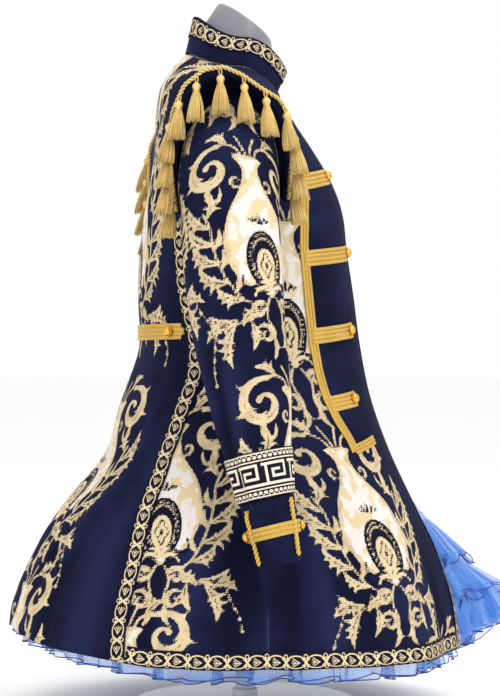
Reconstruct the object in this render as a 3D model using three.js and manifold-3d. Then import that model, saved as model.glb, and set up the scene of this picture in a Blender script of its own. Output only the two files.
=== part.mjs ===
// A flared carnival jacket of navy velvet and scroll-patterned cloth, on a limbless dress form with a low stand.
// Millimetres, +Z up, the jacket's front faces -Y and its right sleeve is at -X. The origin is under the stand's base.
import * as THREE from "three";
import Module from "manifold-3d";

const wasm = await Module();
wasm.setup();

// Driving sizes
const CLOTH = 1.8; // wall of velvet and backing
const TULLE = 1.0; // wall of a tulle ruffle, as a solid
const SEAM = 0.15; // half of the gap between two panels at a seam
const LIFT = 0.95; // from a panel to the trim that lies on it
const TRIM_THICK = 1.0;
const TRIM_WIDE = 22; // woven chain trim
const BRAID_THICK = 1.6;
const BRAID_WIDE = 13; // one row of gold braid
const BAR_WIDE = 21; // two rows side by side
const BUTTON_R = 6.8;
const BUTTON_HIGH = 6.5;
const CORD_R = 2.6;
const COLLAR_THICK = 2.4;
const RIGHT = -1;
const LEFT = 1;
const LEFT_BACK = 12; // the left shoulder sits this much further back on the form

// Colours, as the eye sees them in daylight
const NAVY = { color: 0x1d2150, roughness: 0.85, metalness: 0 };
const PRINTED = { color: 0x2a2c58, roughness: 0.85, metalness: 0 };
const CREAM = { color: 0xd9c49a, roughness: 0.8, metalness: 0 };
const GOLD_BRAID = { color: 0xc9973a, roughness: 0.5, metalness: 0.3 };
const GOLD_THREAD = { color: 0xd2ae62, roughness: 0.55, metalness: 0.1 };
const GOLD_METAL = { color: 0xd08e2c, roughness: 0.25, metalness: 1 };
const BLUE_TULLE = { color: 0x3f7fdc, roughness: 0.6, metalness: 0 };
const FORM_GREY = { color: 0x8f9095, roughness: 0.6, metalness: 0 };
const STAND_WHITE = { color: 0xe8e8e8, roughness: 0.35, metalness: 0.2 };

// The jacket's outer surface: rings from the hem up to the neckline, each through its front, back and side points.
const BODY_RINGS = [
  { frontY: -276, frontZ: 90, backY: 306, backZ: 122, sideX: 285, sideY: 16, sideZ: 98 },
  { frontY: -267, frontZ: 150, backY: 299, backZ: 160, sideX: 264, sideY: 14, sideZ: 152 },
  { frontY: -246, frontZ: 215, backY: 270, backZ: 225, sideX: 238, sideY: 11, sideZ: 215 },
  { frontY: -219, frontZ: 275, backY: 236, backZ: 278, sideX: 216, sideY: 8, sideZ: 276 },
  { frontY: -188, frontZ: 345, backY: 188, backZ: 338, sideX: 193, sideY: 4, sideZ: 342 },
  { frontY: -164, frontZ: 415, backY: 164, backZ: 412, sideX: 172, sideY: 1, sideZ: 414 },
  { frontY: -150, frontZ: 485, backY: 141, backZ: 480, sideX: 156, sideY: -3, sideZ: 483 },
  { frontY: -142, frontZ: 545, backY: 142, backZ: 545, sideX: 157, sideY: 0, sideZ: 545 },
  { frontY: -133, frontZ: 605, backY: 140, backZ: 605, sideX: 165, sideY: 3, sideZ: 605 },
  { frontY: -127, frontZ: 655, backY: 135, backZ: 655, sideX: 171, sideY: 5, sideZ: 655 },
  { frontY: -113, frontZ: 695, backY: 126, backZ: 700, sideX: 176, sideY: 10, sideZ: 698 },
  { frontY: -89, frontZ: 733, backY: 120, backZ: 748, sideX: 181, sideY: 16, sideZ: 741 },
  { frontY: -66, frontZ: 763, backY: 118, backZ: 790, sideX: 183, sideY: 22, sideZ: 779 },
  { frontY: -52, frontZ: 787, backY: 113, backZ: 822, sideX: 170, sideY: 26, sideZ: 806 },
  { frontY: -46, frontZ: 804, backY: 98, backZ: 848, sideX: 118, sideY: 24, sideZ: 827 },
  { frontY: -42, frontZ: 817, backY: 80, backZ: 868, sideX: 64, sideY: 18, sideZ: 845 },
];
const NECKLINE = BODY_RINGS.length - 1;
const BOXY = 0.045; // how much fuller than an ellipse a ring is between its front and its side
const FLARE_WAVES = [
  { count: 7, phase: 0.6, share: 0.55 },
  { count: 11, phase: 2.1, share: 0.45 },
];
const WAVE_AT_HEM = 6;

// The right sleeve: rings from inside the armhole to the cuff's edge. In plan, inner and outer are the points next to
// the body and away from it; middleY and halfY give the front-to-back width, and lean tips the ring's back down.
const SLEEVE_RINGS = [
  { innerX: 136, innerZ: 634, outerX: 140, outerZ: 790, middleY: 33, halfY: 57, lean: 0 },
  { innerX: 164, innerZ: 629, outerX: 198, outerZ: 783, middleY: 35, halfY: 60, lean: 0 },
  { innerX: 172, innerZ: 621, outerX: 230, outerZ: 757, middleY: 37, halfY: 62, lean: 0 },
  { innerX: 179, innerZ: 609, outerX: 254, outerZ: 716, middleY: 38, halfY: 62, lean: 0 },
  { innerX: 185, innerZ: 594, outerX: 269, outerZ: 666, middleY: 37, halfY: 61.5, lean: 0 },
  { innerX: 190, innerZ: 572, outerX: 279, outerZ: 610, middleY: 35, halfY: 60.6, lean: 1 },
  { innerX: 198, innerZ: 538, outerX: 286, outerZ: 560, middleY: 33, halfY: 58.8, lean: 3 },
  { innerX: 207, innerZ: 486, outerX: 293, outerZ: 498, middleY: 27.4, halfY: 55.5, lean: 6 },
  { innerX: 214, innerZ: 437, outerX: 298, outerZ: 449, middleY: 18.6, halfY: 51.4, lean: 8 },
  { innerX: 221, innerZ: 393, outerX: 303, outerZ: 405, middleY: 12.5, halfY: 46.4, lean: 9 },
  { innerX: 228, innerZ: 348, outerX: 307, outerZ: 360, middleY: 7, halfY: 40.4, lean: 11 },
  { innerX: 237, innerZ: 294, outerX: 311, outerZ: 304, middleY: -2.8, halfY: 33, lean: 12.5 },
  { innerX: 243, innerZ: 261, outerX: 313, outerZ: 270, middleY: -9.8, halfY: 29.7, lean: 13 },
  { innerX: 247, innerZ: 229, outerX: 316, outerZ: 238, middleY: -15.7, halfY: 27, lean: 14 },
  { innerX: 248, innerZ: 217, outerX: 318, outerZ: 226, middleY: -18, halfY: 26.5, lean: 15 },];
const ARMHOLE = 0; // ring numbers along the sleeve
const KEY_BAND_TOP = 10;
const CUFF_SEAM = 11;
const CUFF_EDGE = SLEEVE_RINGS.length - 1;

// Ring numbers at which each panel has a row of points
const PANEL_ROWS = [0, 1, 2, 3, 4, 4.7, 5.4, 6.05, 6.55, 7.4, 8.7, 10, 11, 12, 12.8, 14, NECKLINE];
const SIDE_PANEL_TOP = 10.15; // inside the armhole
const FRONT_COLUMNS = 10;
const SIDE_COLUMNS = 4;
const BACK_COLUMNS = 14;

const degrees = Math.PI / 180;
const clamp01 = (v) => Math.min(1, Math.max(0, v));
const smoothstep = (from, to, v) => {
  const k = clamp01((v - from) / (to - from));
  return k * k * (3 - 2 * k);
};
const range = (n) => [...Array(n).keys()];
const steps = (from, to, n) => range(n + 1).map((i) => from + ((to - from) * i) / n);

// A row of the table at a fractional place, on a smooth curve through the rows.
function between(rows, at) {
  const i = Math.min(rows.length - 2, Math.floor(at));
  const f = at - i;
  const made = {};
  for (const key of Object.keys(rows[0])) {
    const [p, a, b, n] = [-1, 0, 1, 2].map((k) => rows[Math.min(rows.length - 1, Math.max(0, i + k))][key]);
    const [ma, mb] = [(b - p) / 2, (n - a) / 2];
    const [f2, f3] = [f * f, f * f * f];
    made[key] = (2 * f3 - 3 * f2 + 1) * a + (f3 - 2 * f2 + f) * ma + (3 * f2 - 2 * f3) * b + (f3 - f2) * mb;
  }
  return made;
}

// A value from a table of { at, value }, straight between its rows.
function fromTable(table, at) {
  const i = table.findIndex((row) => row.at >= at);
  if (i === 0) return table[0].value;
  if (i < 0) return table[table.length - 1].value;
  const [a, b] = [table[i - 1], table[i]];
  return a.value + ((b.value - a.value) * (at - a.at)) / (b.at - a.at);
}

// The jacket's outer surface. angle is in degrees from the centre front, positive towards +X.
function bodyPoint(angle, ring, waves = 1) {
  const r = between(BODY_RINGS, ring);
  const [c, s] = [Math.cos(angle * degrees), Math.sin(angle * degrees)];
  const fuller = 1 + BOXY * Math.sin(2 * angle * degrees) ** 2;
  const [endY, endZ] = c > 0 ? [r.frontY, r.frontZ] : [r.backY, r.backZ];
  const point = new THREE.Vector3(
    r.sideX * s * fuller,
    r.sideY + (endY - r.sideY) * Math.abs(c) * fuller,
    r.sideZ + (endZ - r.sideZ) * c * c,
  );
  const high = waves * WAVE_AT_HEM * (1 - smoothstep(0, 5.5, ring));
  const wave = FLARE_WAVES.reduce((sum, w) => sum + w.share * Math.cos(w.count * angle * degrees + w.phase), 0);
  return point.add(new THREE.Vector3(s, -c, 0).multiplyScalar(high * wave));
}

function normalOf(surface, u, v) {
  const [du, dv] = [0.4, 0.02];
  const across = surface(u + du, v).sub(surface(u - du, v));
  const along = surface(u, v + dv).sub(surface(u, v - dv));
  return across.cross(along).normalize();
}
const bodyNormal = (angle, ring) => {
  const at = Math.min(NECKLINE - 0.03, Math.max(0.03, ring));
  return normalOf((a, r) => bodyPoint(a, r), angle, at);
};
const bodyLifted = (angle, ring, out) => bodyPoint(angle, ring).addScaledVector(bodyNormal(angle, ring), out);

// Seam lines: angle from the centre front at each ring, on either side
const SIDE_SEAM = [{ at: 0, value: 86 }, { at: 9, value: 86 }, { at: 10.15, value: 90 }, { at: 10.8, value: 97 }];
const BACK_SEAM = [
  { at: 0, value: 122.3 },
  { at: 2, value: 122.3 },
  { at: 3.3, value: 124.3 },
  { at: 4.1, value: 125.6 },
  { at: 4.7, value: 122.6 },
  { at: 5.4, value: 119 },
  { at: 6.05, value: 121 },
  { at: 6.8, value: 124.9 },
  { at: 7.4, value: 127 },
  { at: 8.7, value: 131 },
  { at: 9.4, value: 124 },
  { at: 10.15, value: 112 },
  { at: 10.8, value: 97 },
];
const BIB_EDGE = [
  { at: 4.1, value: 49.2 },
  { at: 4.3, value: 50.2 },
  { at: 4.65, value: 54.3 },
  { at: 5.1, value: 58.2 },
  { at: 5.54, value: 60.5 },
  { at: 6.1, value: 62 },
  { at: 8, value: 62.8 },
  { at: 8.8, value: 61.8 },
  { at: 9.8, value: 58 },
];
const CLOSED_ABOVE = 4.05; // the front edges meet above this ring
const OPEN_AT_HEM = 14;
const CLOSED_ANGLE = 0.12;
const frontEdge = (ring) => CLOSED_ANGLE + OPEN_AT_HEM * (1 - smoothstep(-1.2, CLOSED_ABOVE, ring)) * 1.08;

// Splits a four-sided face along its shorter diagonal, so that surfaces at one place are split alike.
function splitInto(index, points, a, b, c, d) {
  const short = points[a].distanceTo(points[c]) < points[b].distanceTo(points[d]) + 1e-3;
  if (short) index.push(a, b, c, a, c, d);
  else index.push(a, b, d, b, c, d);
}
function meshOf(points, index) {
  const positions = new THREE.Float32BufferAttribute(points.flatMap((p) => [p.x, p.y, p.z]), 3);
  return facingOut(new THREE.BufferGeometry().setAttribute("position", positions).setIndex(index));
}

// Makes a closed wall from a grid of outer points and one of inner points. round joins the last column to the first.
function wall(outer, inner, round = false) {
  const [rows, columns] = [outer.length, outer[0].length];
  const points = [...outer.flat(), ...inner.flat()];
  const at = (side, i, j) => side * rows * columns + i * columns + (j % columns);
  const index = [];
  const quad = (a, b, c, d) => splitInto(index, points, a, b, c, d);
  const last = round ? columns : columns - 1;
  for (let i = 0; i < rows - 1; i++)
    for (let j = 0; j < last; j++) {
      quad(at(0, i, j), at(0, i, j + 1), at(0, i + 1, j + 1), at(0, i + 1, j));
      quad(at(1, i, j), at(1, i + 1, j), at(1, i + 1, j + 1), at(1, i, j + 1));
    }
  for (let j = 0; j < last; j++) {
    quad(at(0, 0, j), at(1, 0, j), at(1, 0, j + 1), at(0, 0, j + 1));
    quad(at(0, rows - 1, j), at(0, rows - 1, j + 1), at(1, rows - 1, j + 1), at(1, rows - 1, j));
  }
  for (let i = 0; !round && i < rows - 1; i++) {
    quad(at(0, i, 0), at(0, i + 1, 0), at(1, i + 1, 0), at(1, i, 0));
    quad(at(0, i, last), at(1, i, last), at(1, i + 1, last), at(0, i + 1, last));
  }
  return meshOf(points, index);
}

// Turns a closed geometry's faces round if they point inwards.
function facingOut(geometry) {
  const [p, index] = [geometry.attributes.position, geometry.index.array];
  const corner = (k) => new THREE.Vector3().fromBufferAttribute(p, index[k]);
  let volume = 0;
  for (let k = 0; k < index.length; k += 3) volume += corner(k).dot(corner(k + 1).cross(corner(k + 2)));
  if (volume < 0) for (let k = 0; k < index.length; k += 3) [index[k], index[k + 1]] = [index[k + 1], index[k]];
  return geometry;
}

// A closed solid from rings of points. Each end is closed by a fan: from its middle, or from a corner if it is small.
function loft(rings) {
  const columns = rings[0].length;
  const end = (rings.length - 1) * columns;
  const points = rings.flat();
  const index = [];
  for (let j = 0; j < columns; j++) {
    const next = (j + 1) % columns;
    for (let i = 0; i < rings.length - 1; i++) {
      const [a, b] = [i * columns, (i + 1) * columns];
      splitInto(index, points, a + j, a + next, b + next, b + j);
    }
    if (columns > 8) index.push(end + columns, next, j, end + columns + 1, end + j, end + next);
    else if (j > 0 && next > 0) index.push(0, next, j, end, end + j, end + next);
  }
  const middle = (ring) => ring.reduce((sum, p) => sum.add(p), new THREE.Vector3()).divideScalar(columns);
  if (columns > 8) points.push(middle(rings[0]), middle(rings[rings.length - 1]));
  return meshOf(points, index);
}

// Between three.js geometry and the boolean library
function solid(geometry) {
  return new wasm.Manifold(
    new wasm.Mesh({
      numProp: 3,
      vertProperties: new Float32Array(geometry.attributes.position.array),
      triVerts: new Uint32Array(geometry.index.array),
    }),
  );
}
function geometryOf(made) {
  const mesh = made.getMesh();
  const positions = new Float32Array(mesh.numVert * 3);
  for (let i = 0; i < mesh.numVert; i++)
    positions.set(mesh.vertProperties.subarray(i * mesh.numProp, i * mesh.numProp + 3), i * 3);
  const geometry = new THREE.BufferGeometry().setAttribute("position", new THREE.BufferAttribute(positions, 3));
  return geometry.setIndex(new THREE.BufferAttribute(new Uint32Array(mesh.triVerts), 1));
}

const jacket = new THREE.Group();
function piece(name, geometry, material) {
  const mesh = new THREE.Mesh(geometry, new THREE.MeshStandardMaterial(material));
  mesh.name = name;
  jacket.add(mesh);
}
const shoulderShift = (side) => (side === LEFT ? LEFT_BACK : 0);
const sideName = (side) => (side === RIGHT ? "right" : "left");

// Sleeves
function sleevePoint(side, angle, ring, out = 0) {
  const r = between(SLEEVE_RINGS, ring);
  const [inner, outer] = [new THREE.Vector3(r.innerX, 0, r.innerZ), new THREE.Vector3(r.outerX, 0, r.outerZ)];
  const half = outer.clone().sub(inner).multiplyScalar(0.5);
  const middle = inner.add(half).setY(r.middleY + shoulderShift(side));
  const back = new THREE.Vector3(0, Math.cos(r.lean * degrees), -Math.sin(r.lean * degrees));
  const halfX = half.length();
  half.normalize();
  const [c, s] = [Math.cos(angle * degrees), Math.sin(angle * degrees)];
  const radial = half.clone().multiplyScalar(c / halfX).addScaledVector(back, s / r.halfY).normalize();
  const point = middle.addScaledVector(half, halfX * c).addScaledVector(back, r.halfY * s).addScaledVector(radial, out);
  point.x *= side;
  return point;
}
const sleeveRing = (side, ring, out, columns) =>
  range(columns).map((j) => sleevePoint(side, (360 * j) / columns, ring, out));
const SLEEVE_COLUMNS = 14;
function sleeveTube(side, rings, outer, inner) {
  return wall(
    rings.map((r) => sleeveRing(side, r, outer, SLEEVE_COLUMNS)),
    rings.map((r) => sleeveRing(side, r, inner, SLEEVE_COLUMNS)),
    true,
  );
}
// What the sleeve takes out of the body panels: its own inside, from well within the body to just below the armpit.
const plug = (side) =>
  solid(loft([
    range(SLEEVE_COLUMNS).map((j) => sleevePoint(side, (360 * j) / SLEEVE_COLUMNS, ARMHOLE, -CLOTH).setX(side * 100)),
    ...[0, 1, 2, 3].map((r) => sleeveRing(side, r, -CLOTH, SLEEVE_COLUMNS)),
  ]));
// Every panel column's angle on one side, from the front edge to the centre back
const panelAngles = (r) => [
  ...steps(frontEdge(r), fromTable(SIDE_SEAM, r), FRONT_COLUMNS),
  ...steps(fromTable(SIDE_SEAM, r), fromTable(BACK_SEAM, r), SIDE_COLUMNS).slice(1),
  ...steps(fromTable(BACK_SEAM, r), 180, BACK_COLUMNS / 2).slice(1),
];
// The body as one closed block, a seam's gap outside the panels, with their own columns
function bodyBlock(out) {
  const rows = PANEL_ROWS.filter((r) => r > 4.5).map((r) => {
    const angles = panelAngles(r);
    const around = [...angles, ...angles.slice(0, -1).reverse().map((a) => 360 - a)];
    return around.map((a) => bodyLifted(a, r, out));
  });
  return solid(loft(rows));
}

// Panels: a grid of points from one seam angle to another at each row
function panelWall(fromAngle, toAngle, columns, rows = PANEL_ROWS) {
  const grid = (out) =>
    rows.map((r) =>
      steps(fromAngle(r), toAngle(r), columns).map((a) => {
        const spread = bodyPoint(a + 0.5, r).distanceTo(bodyPoint(a - 0.5, r));
        const [low, high] = [fromAngle(r), toAngle(r)];
        const inset = Math.sign(high - low) * SEAM * (1 / spread);
        const moved = a === low ? a + inset : a === high ? a - inset : a;
        return bodyLifted(moved, r, out);
      }),
    );
  return wall(grid(0), grid(-CLOTH));
}
function addPanels() {
  const cuts = { [RIGHT]: plug(RIGHT), [LEFT]: plug(LEFT) };
  for (const side of [RIGHT, LEFT]) {
    const seam = (table) => (r) => side * fromTable(table, r);
    const front = panelWall((r) => side * frontEdge(r), seam(SIDE_SEAM), FRONT_COLUMNS);
    piece(`front_${sideName(side)}`, geometryOf(solid(front).subtract(cuts[side])), PRINTED);
    const rows = [...PANEL_ROWS.filter((r) => r < SIDE_PANEL_TOP - 0.1), SIDE_PANEL_TOP];
    const gusset = panelWall(seam(SIDE_SEAM), seam(BACK_SEAM), SIDE_COLUMNS, rows);
    piece(`side_panel_${sideName(side)}`, geometryOf(solid(gusset).subtract(cuts[side])), PRINTED);
  }
  const back = panelWall((r) => fromTable(BACK_SEAM, r), (r) => 360 - fromTable(BACK_SEAM, r), BACK_COLUMNS);
  piece("back", geometryOf(solid(back).subtract(cuts[RIGHT]).subtract(cuts[LEFT])), PRINTED);
}

function addSleeves() {
  const block = bodyBlock(0.3);
  for (const side of [RIGHT, LEFT]) {
    const name = sideName(side);
    const rings = [...steps(ARMHOLE + 0.2, 4, 4), 5, 6.5, 8, KEY_BAND_TOP, CUFF_SEAM - 0.02];
    piece(`sleeve_${name}`, geometryOf(solid(sleeveTube(side, rings, 0, -CLOTH)).subtract(block)), PRINTED);
    piece(`cuff_${name}`, sleeveTube(side, [CUFF_SEAM, STRAP.ring, CUFF_EDGE], 0, -CLOTH), NAVY);
    const band = [KEY_BAND_TOP, CUFF_SEAM - 0.02];
    piece(`key_band_${name}`, sleeveTube(side, band, LIFT + TRIM_THICK, LIFT), CREAM);
  }
}

// A strip laid on a surface: rows of [u, v] centres, with half its width set along the direction across it.
// lifted(u, v, out) gives a point of the surface, moved out.
function strip(lifted, centres, half, low, high, ribs = 2) {
  const [du, dv] = [0.2, 0.01];
  const across = centres.map(([u, v], i) => {
    const [a, b] = [centres[Math.max(0, i - 1)], centres[Math.min(centres.length - 1, i + 1)]];
    const travel = lifted(b[0], b[1], 0).sub(lifted(a[0], a[1], 0));
    const [pu, pv] = [lifted(u + du, v, 0).sub(lifted(u, v, 0)), lifted(u, v + dv, 0).sub(lifted(u, v, 0))];
    const side = travel.cross(pu.clone().cross(pv)).normalize();
    // Solves side * half = x * pu + y * pv in the surface.
    const [uu, uv, vv] = [pu.dot(pu), pu.dot(pv), pv.dot(pv)];
    const [su, sv] = [side.dot(pu), side.dot(pv)];
    const det = uu * vv - uv * uv;
    return [(du * (su * vv - sv * uv)) / det, (dv * (sv * uu - su * uv)) / det];
  });
  const grid = (out) =>
    centres.map(([u, v], i) => steps(-half, half, ribs - 1).map((w) => lifted(u + w * across[i][0], v + w * across[i][1], out)));
  return wall(grid(high), grid(low));
}
const onBody = (centres, wide, thick, ribs) => strip(bodyLifted, centres, wide / 2, LIFT, LIFT + thick, ribs);
const rowsBetween = (from, to) => [from, ...PANEL_ROWS.filter((r) => r > from + 0.05 && r < to - 0.05), to];

// The angle that a distance in mm spans on the body at a ring
const spanAngle = (angle, ring, mm) => mm / bodyPoint(angle + 0.5, ring).distanceTo(bodyPoint(angle - 0.5, ring));

function addTrims() {
  for (const side of [RIGHT, LEFT]) {
    const name = sideName(side);
    const halfTrim = TRIM_WIDE / 2;
    const edge = rowsBetween(0.06, NECKLINE - 0.12).map((r) => {
      const a = frontEdge(r);
      return [side * (a + spanAngle(a + 4, r, halfTrim + 0.8)), r];
    });
    piece(`front_trim_${name}`, onBody(edge, TRIM_WIDE, TRIM_THICK, 3), NAVY);
    const hemRing = (angle) => 0.02 + (halfTrim / bodyPoint(angle, 1).distanceTo(bodyPoint(angle, 0)));
    const start = edge[0][0] * side + spanAngle(edge[0][0], 0, halfTrim + 0.6);
    const end = fromTable(BACK_SEAM, 0) - spanAngle(119, 0, halfTrim + 1.7);
    const hem = [start, ...panelAngles(0).filter((a) => a > start + 1 && a < end - 1), end];
    piece(`hem_trim_${name}`, onBody(hem.map((a) => [side * a, hemRing(a)]), TRIM_WIDE, TRIM_THICK), NAVY);
    const seam = rowsBetween(0.06, 8.66).map((r) => [side * fromTable(BACK_SEAM, r), r]);
    piece(`back_seam_trim_${name}`, onBody(seam, TRIM_WIDE, TRIM_THICK, 3), NAVY);
  }
}

// Bars of the bib: ring and angle of the outer end and of the button
const BIB_BARS = [
  { outerRing: 9.78, buttonRing: 10.08, buttonAngle: 34.5 },
  { outerRing: 7.78, buttonRing: 7.97, buttonAngle: 25 },
  { outerRing: 6.17, buttonRing: 6.3, buttonAngle: 33.5 },
  { outerRing: 4.92, buttonRing: 5.01, buttonAngle: 42 },
];
const BIB_FOOT = { outerRing: 4.12, innerRing: 4.26, innerAngle: 34 };
function addBib() {
  for (const side of [RIGHT, LEFT]) {
    const upright = rowsBetween(4.08, 9.9).map((r) => [side * fromTable(BIB_EDGE, r), r]);
    let braid = solid(onBody(upright, BRAID_WIDE, BRAID_THICK));
    const bar = (outerRing, innerRing, innerAngle, wide) => {
      const outerAngle = fromTable(BIB_EDGE, outerRing);
      const centres = steps(0, 1, 6).map((k) => [
        side * (outerAngle + (innerAngle - outerAngle) * k),
        outerRing + (innerRing - outerRing) * k,
      ]);
      return solid(onBody(centres, wide, BRAID_THICK));
    };
    for (const b of BIB_BARS)
      braid = braid.add(bar(b.outerRing, b.buttonRing, b.buttonAngle - spanAngle(b.buttonAngle, b.buttonRing, 5), BAR_WIDE));
    braid = braid.add(bar(BIB_FOOT.outerRing, BIB_FOOT.innerRing, BIB_FOOT.innerAngle, BRAID_WIDE));
    piece(`bib_braid_${sideName(side)}`, geometryOf(braid), GOLD_BRAID);
  }
}

// A domed shank button, standing along direction from point
function button(name, point, direction) {
  const profile = [
    [0, 0],
    [BUTTON_R * 0.8, 0],
    [BUTTON_R, BUTTON_HIGH * 0.3],
    [BUTTON_R * 0.66, BUTTON_HIGH * 0.84],
    [0, BUTTON_HIGH],
  ].map(([r, h]) => new THREE.Vector2(r, h));
  const turn = new THREE.Quaternion().setFromUnitVectors(new THREE.Vector3(0, 1, 0), direction);
  const geometry = new THREE.LatheGeometry(profile, 7).applyQuaternion(turn);
  piece(name, geometry.translate(point.x, point.y, point.z), GOLD_METAL);
}
const ON_BRAID = LIFT + BRAID_THICK + 0.7;
const BELT = { ring: 6.3, tipAngle: 127.4, shoulderAngle: 130, buttonAngle: 136, wide: 21 };
function addButtonsAndBelt() {
  for (const side of [RIGHT, LEFT])
    BIB_BARS.forEach((b, i) => {
      const a = side * b.buttonAngle;
      button(`front_button_${sideName(side)}_${i + 1}`, bodyLifted(a, b.buttonRing, ON_BRAID), bodyNormal(a, b.buttonRing));
    });
  const half = [BELT.shoulderAngle, ...panelAngles(BELT.ring).filter((a) => a > BELT.shoulderAngle + 1)];
  const angles = [...half, ...half.slice(0, -1).reverse().map((a) => 360 - a)];
  const belt = solid(onBody(angles.map((a) => [a, BELT.ring]), BELT.wide, BRAID_THICK));
  const tip = (a, b) => solid(onBody([[a, BELT.ring], [b, BELT.ring]], BELT.wide * 0.5, BRAID_THICK));
  const ends = [tip(BELT.tipAngle, BELT.shoulderAngle + 0.5), tip(360 - BELT.shoulderAngle - 0.5, 360 - BELT.tipAngle)];
  piece("half_belt", geometryOf(ends.reduce((all, end) => all.add(end), belt)), GOLD_BRAID);
  for (const side of [RIGHT, LEFT]) {
    const at = side === RIGHT ? 360 - BELT.buttonAngle : BELT.buttonAngle;
    button(`belt_button_${sideName(side)}`, bodyLifted(at, BELT.ring, ON_BRAID), bodyNormal(at, BELT.ring));
  }
}

// Cuff strap, its two upright braids and its buttons. Angle 0 faces away from the body, 90 faces back.
const STRAP = { ring: 12.1, backAngle: 90, frontAngle: -90, buttonIn: 3, wide: 16 };
const UPRIGHTS = { back: { angle: 62, from: 11.2, to: 13.3 }, front: { angle: -46, from: 11.1, to: 13.3 } };
const UPRIGHT_WIDE = 7;
function addCuffBraid() {
  for (const side of [RIGHT, LEFT]) {
    const name = sideName(side);
    const onCuff = (u, v, out) => sleevePoint(side, u, v, out);
    const strap = steps(STRAP.frontAngle, STRAP.backAngle, 8).map((a) => [a, STRAP.ring]);
    let braid = solid(strip(onCuff, strap, STRAP.wide / 2, LIFT, LIFT + BRAID_THICK));
    for (const u of Object.values(UPRIGHTS)) {
      const rows = [u.from, STRAP.ring, u.to].map((r) => [u.angle, r]);
      braid = braid.add(solid(strip(onCuff, rows, UPRIGHT_WIDE / 2, LIFT, LIFT + BRAID_THICK * 0.9)));
    }
    piece(`cuff_braid_${name}`, geometryOf(braid), GOLD_BRAID);
    for (const [place, angle] of [["back", STRAP.backAngle - STRAP.buttonIn], ["front", STRAP.frontAngle + STRAP.buttonIn]]) {
      const at = onCuff(angle, STRAP.ring, ON_BRAID);
      const direction = onCuff(angle, STRAP.ring, ON_BRAID + 1).sub(at).normalize();
      button(`cuff_button_${name}_${place}`, at, direction);
    }
  }
}

// Stand collar, from a seam's gap above the neckline to its tilted top
const COLLAR_TOP = { frontY: -55, frontZ: 846, backY: 68, backZ: 919, sideX: 61, sideY: 6, sideZ: 884 };
const COLLAR_COLUMNS = 22;
const COLLAR_OPEN = 4; // degrees of the ring from the centre front to the collar's front edge
function collarPoint(angle, up, out) {
  const foot = between(BODY_RINGS, NECKLINE);
  const mix = (key) => foot[key] + (COLLAR_TOP[key] - foot[key]) * up;
  const [c, s] = [Math.cos(angle * degrees), Math.sin(angle * degrees)];
  const [endY, endZ] = c > 0 ? [mix("frontY"), mix("frontZ")] : [mix("backY"), mix("backZ")];
  const middle = mix("sideY");
  return new THREE.Vector3(
    (mix("sideX") + out) * s,
    middle + (endY - middle) * Math.abs(c) - out * c,
    mix("sideZ") + (endZ - mix("sideZ")) * c * c,
  );
}
function collarWall(fromUp, toUp, low, high, open) {
  const grid = (out) => steps(fromUp, toUp, 1).map((up) => {
    const start = open + up * COLLAR_OPEN;
    return steps(start, 360 - start, COLLAR_COLUMNS).map((a) => collarPoint(a, up, out));
  });
  return wall(grid(high), grid(low));
}
const COLLAR_FOOT = 0.05;
const COLLAR_TRIM_FOOT = 0.5;
function addCollar() {
  piece("collar", collarWall(COLLAR_FOOT, 1, -COLLAR_THICK, 0, 0.5), NAVY);
  piece("collar_trim", collarWall(COLLAR_TRIM_FOOT, 0.97, 0.5, 0.5 + TRIM_THICK, 0.8), NAVY);
}

// Shoulder wings: a curved flap over each sleeve head, from the armhole seam out to the gold cord.
// turn runs round the armhole from its back (0) over the shoulder (90) to its front (180).
const WING = { from: -30, to: 208, thick: 2.4, columns: 18, arch: 5 };
const WING_ROOT = { middleY: 33, middleZ: 712, halfY: 66, halfZ: 92 };
const WING_EDGE = [
  { turn: -30, x: 184, y: 98, z: 645 },
  { turn: 0, x: 197, y: 106, z: 705 },
  { turn: 25, x: 205, y: 105, z: 765 },
  { turn: 50, x: 214, y: 91, z: 798 },
  { turn: 70, x: 219, y: 68, z: 815.5 },
  { turn: 90, x: 221, y: 46, z: 819.5 },
  { turn: 110, x: 220, y: 24, z: 810.5 },
  { turn: 130, x: 216, y: 0, z: 794.5 },
  { turn: 150, x: 211, y: -22, z: 783 },
  { turn: 165, x: 205, y: -35, z: 763 },
  { turn: 185, x: 197, y: -38, z: 715 },
  { turn: 208, x: 186, y: -35, z: 660 },
];
const turned = (turn) => [Math.cos(turn * degrees), Math.sin(turn * degrees)];
const wingHeight = (turn) => clamp01(turned(turn)[1]);
// Finds the place on the body's surface at the root oval's depth and height.
function wingRoot(side, turn) {
  const [c, s] = turned(turn);
  const y = WING_ROOT.middleY + WING_ROOT.halfY * c + shoulderShift(side);
  const z = WING_ROOT.middleZ + WING_ROOT.halfZ * s;
  let [angle, ring] = [90 + (y - 15) * 0.5, 9 + (z - 655) / 38];
  for (const pass of range(24)) {
    const p = bodyPoint(angle, ring);
    const [pa, pr] = [bodyPoint(angle + 0.5, ring).sub(p), bodyPoint(angle, ring + 0.02).sub(p)];
    const det = pa.y * pr.z - pr.y * pa.z;
    const [ey, ez] = [y - p.y, z - p.z];
    const [da, dr] = [(0.5 * (ey * pr.z - ez * pr.y)) / det, (0.02 * (ez * pa.y - ey * pa.z)) / det];
    const most = pass < 12 ? 1 : 0.5;
    angle += Math.max(-6, Math.min(6, da)) * most;
    ring = Math.min(13.4, Math.max(7, ring + Math.max(-0.3, Math.min(0.3, dr)) * most));
  }
  return bodyLifted(angle, ring, 0.8 + WING.thick / 2);
}
function wingEdge(side, turn) {
  const at = (key) => fromTable(WING_EDGE.map((row) => ({ at: row.turn, value: row[key] })), turn);
  return new THREE.Vector3(at("x"), at("y") + shoulderShift(side), at("z"));
}
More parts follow.
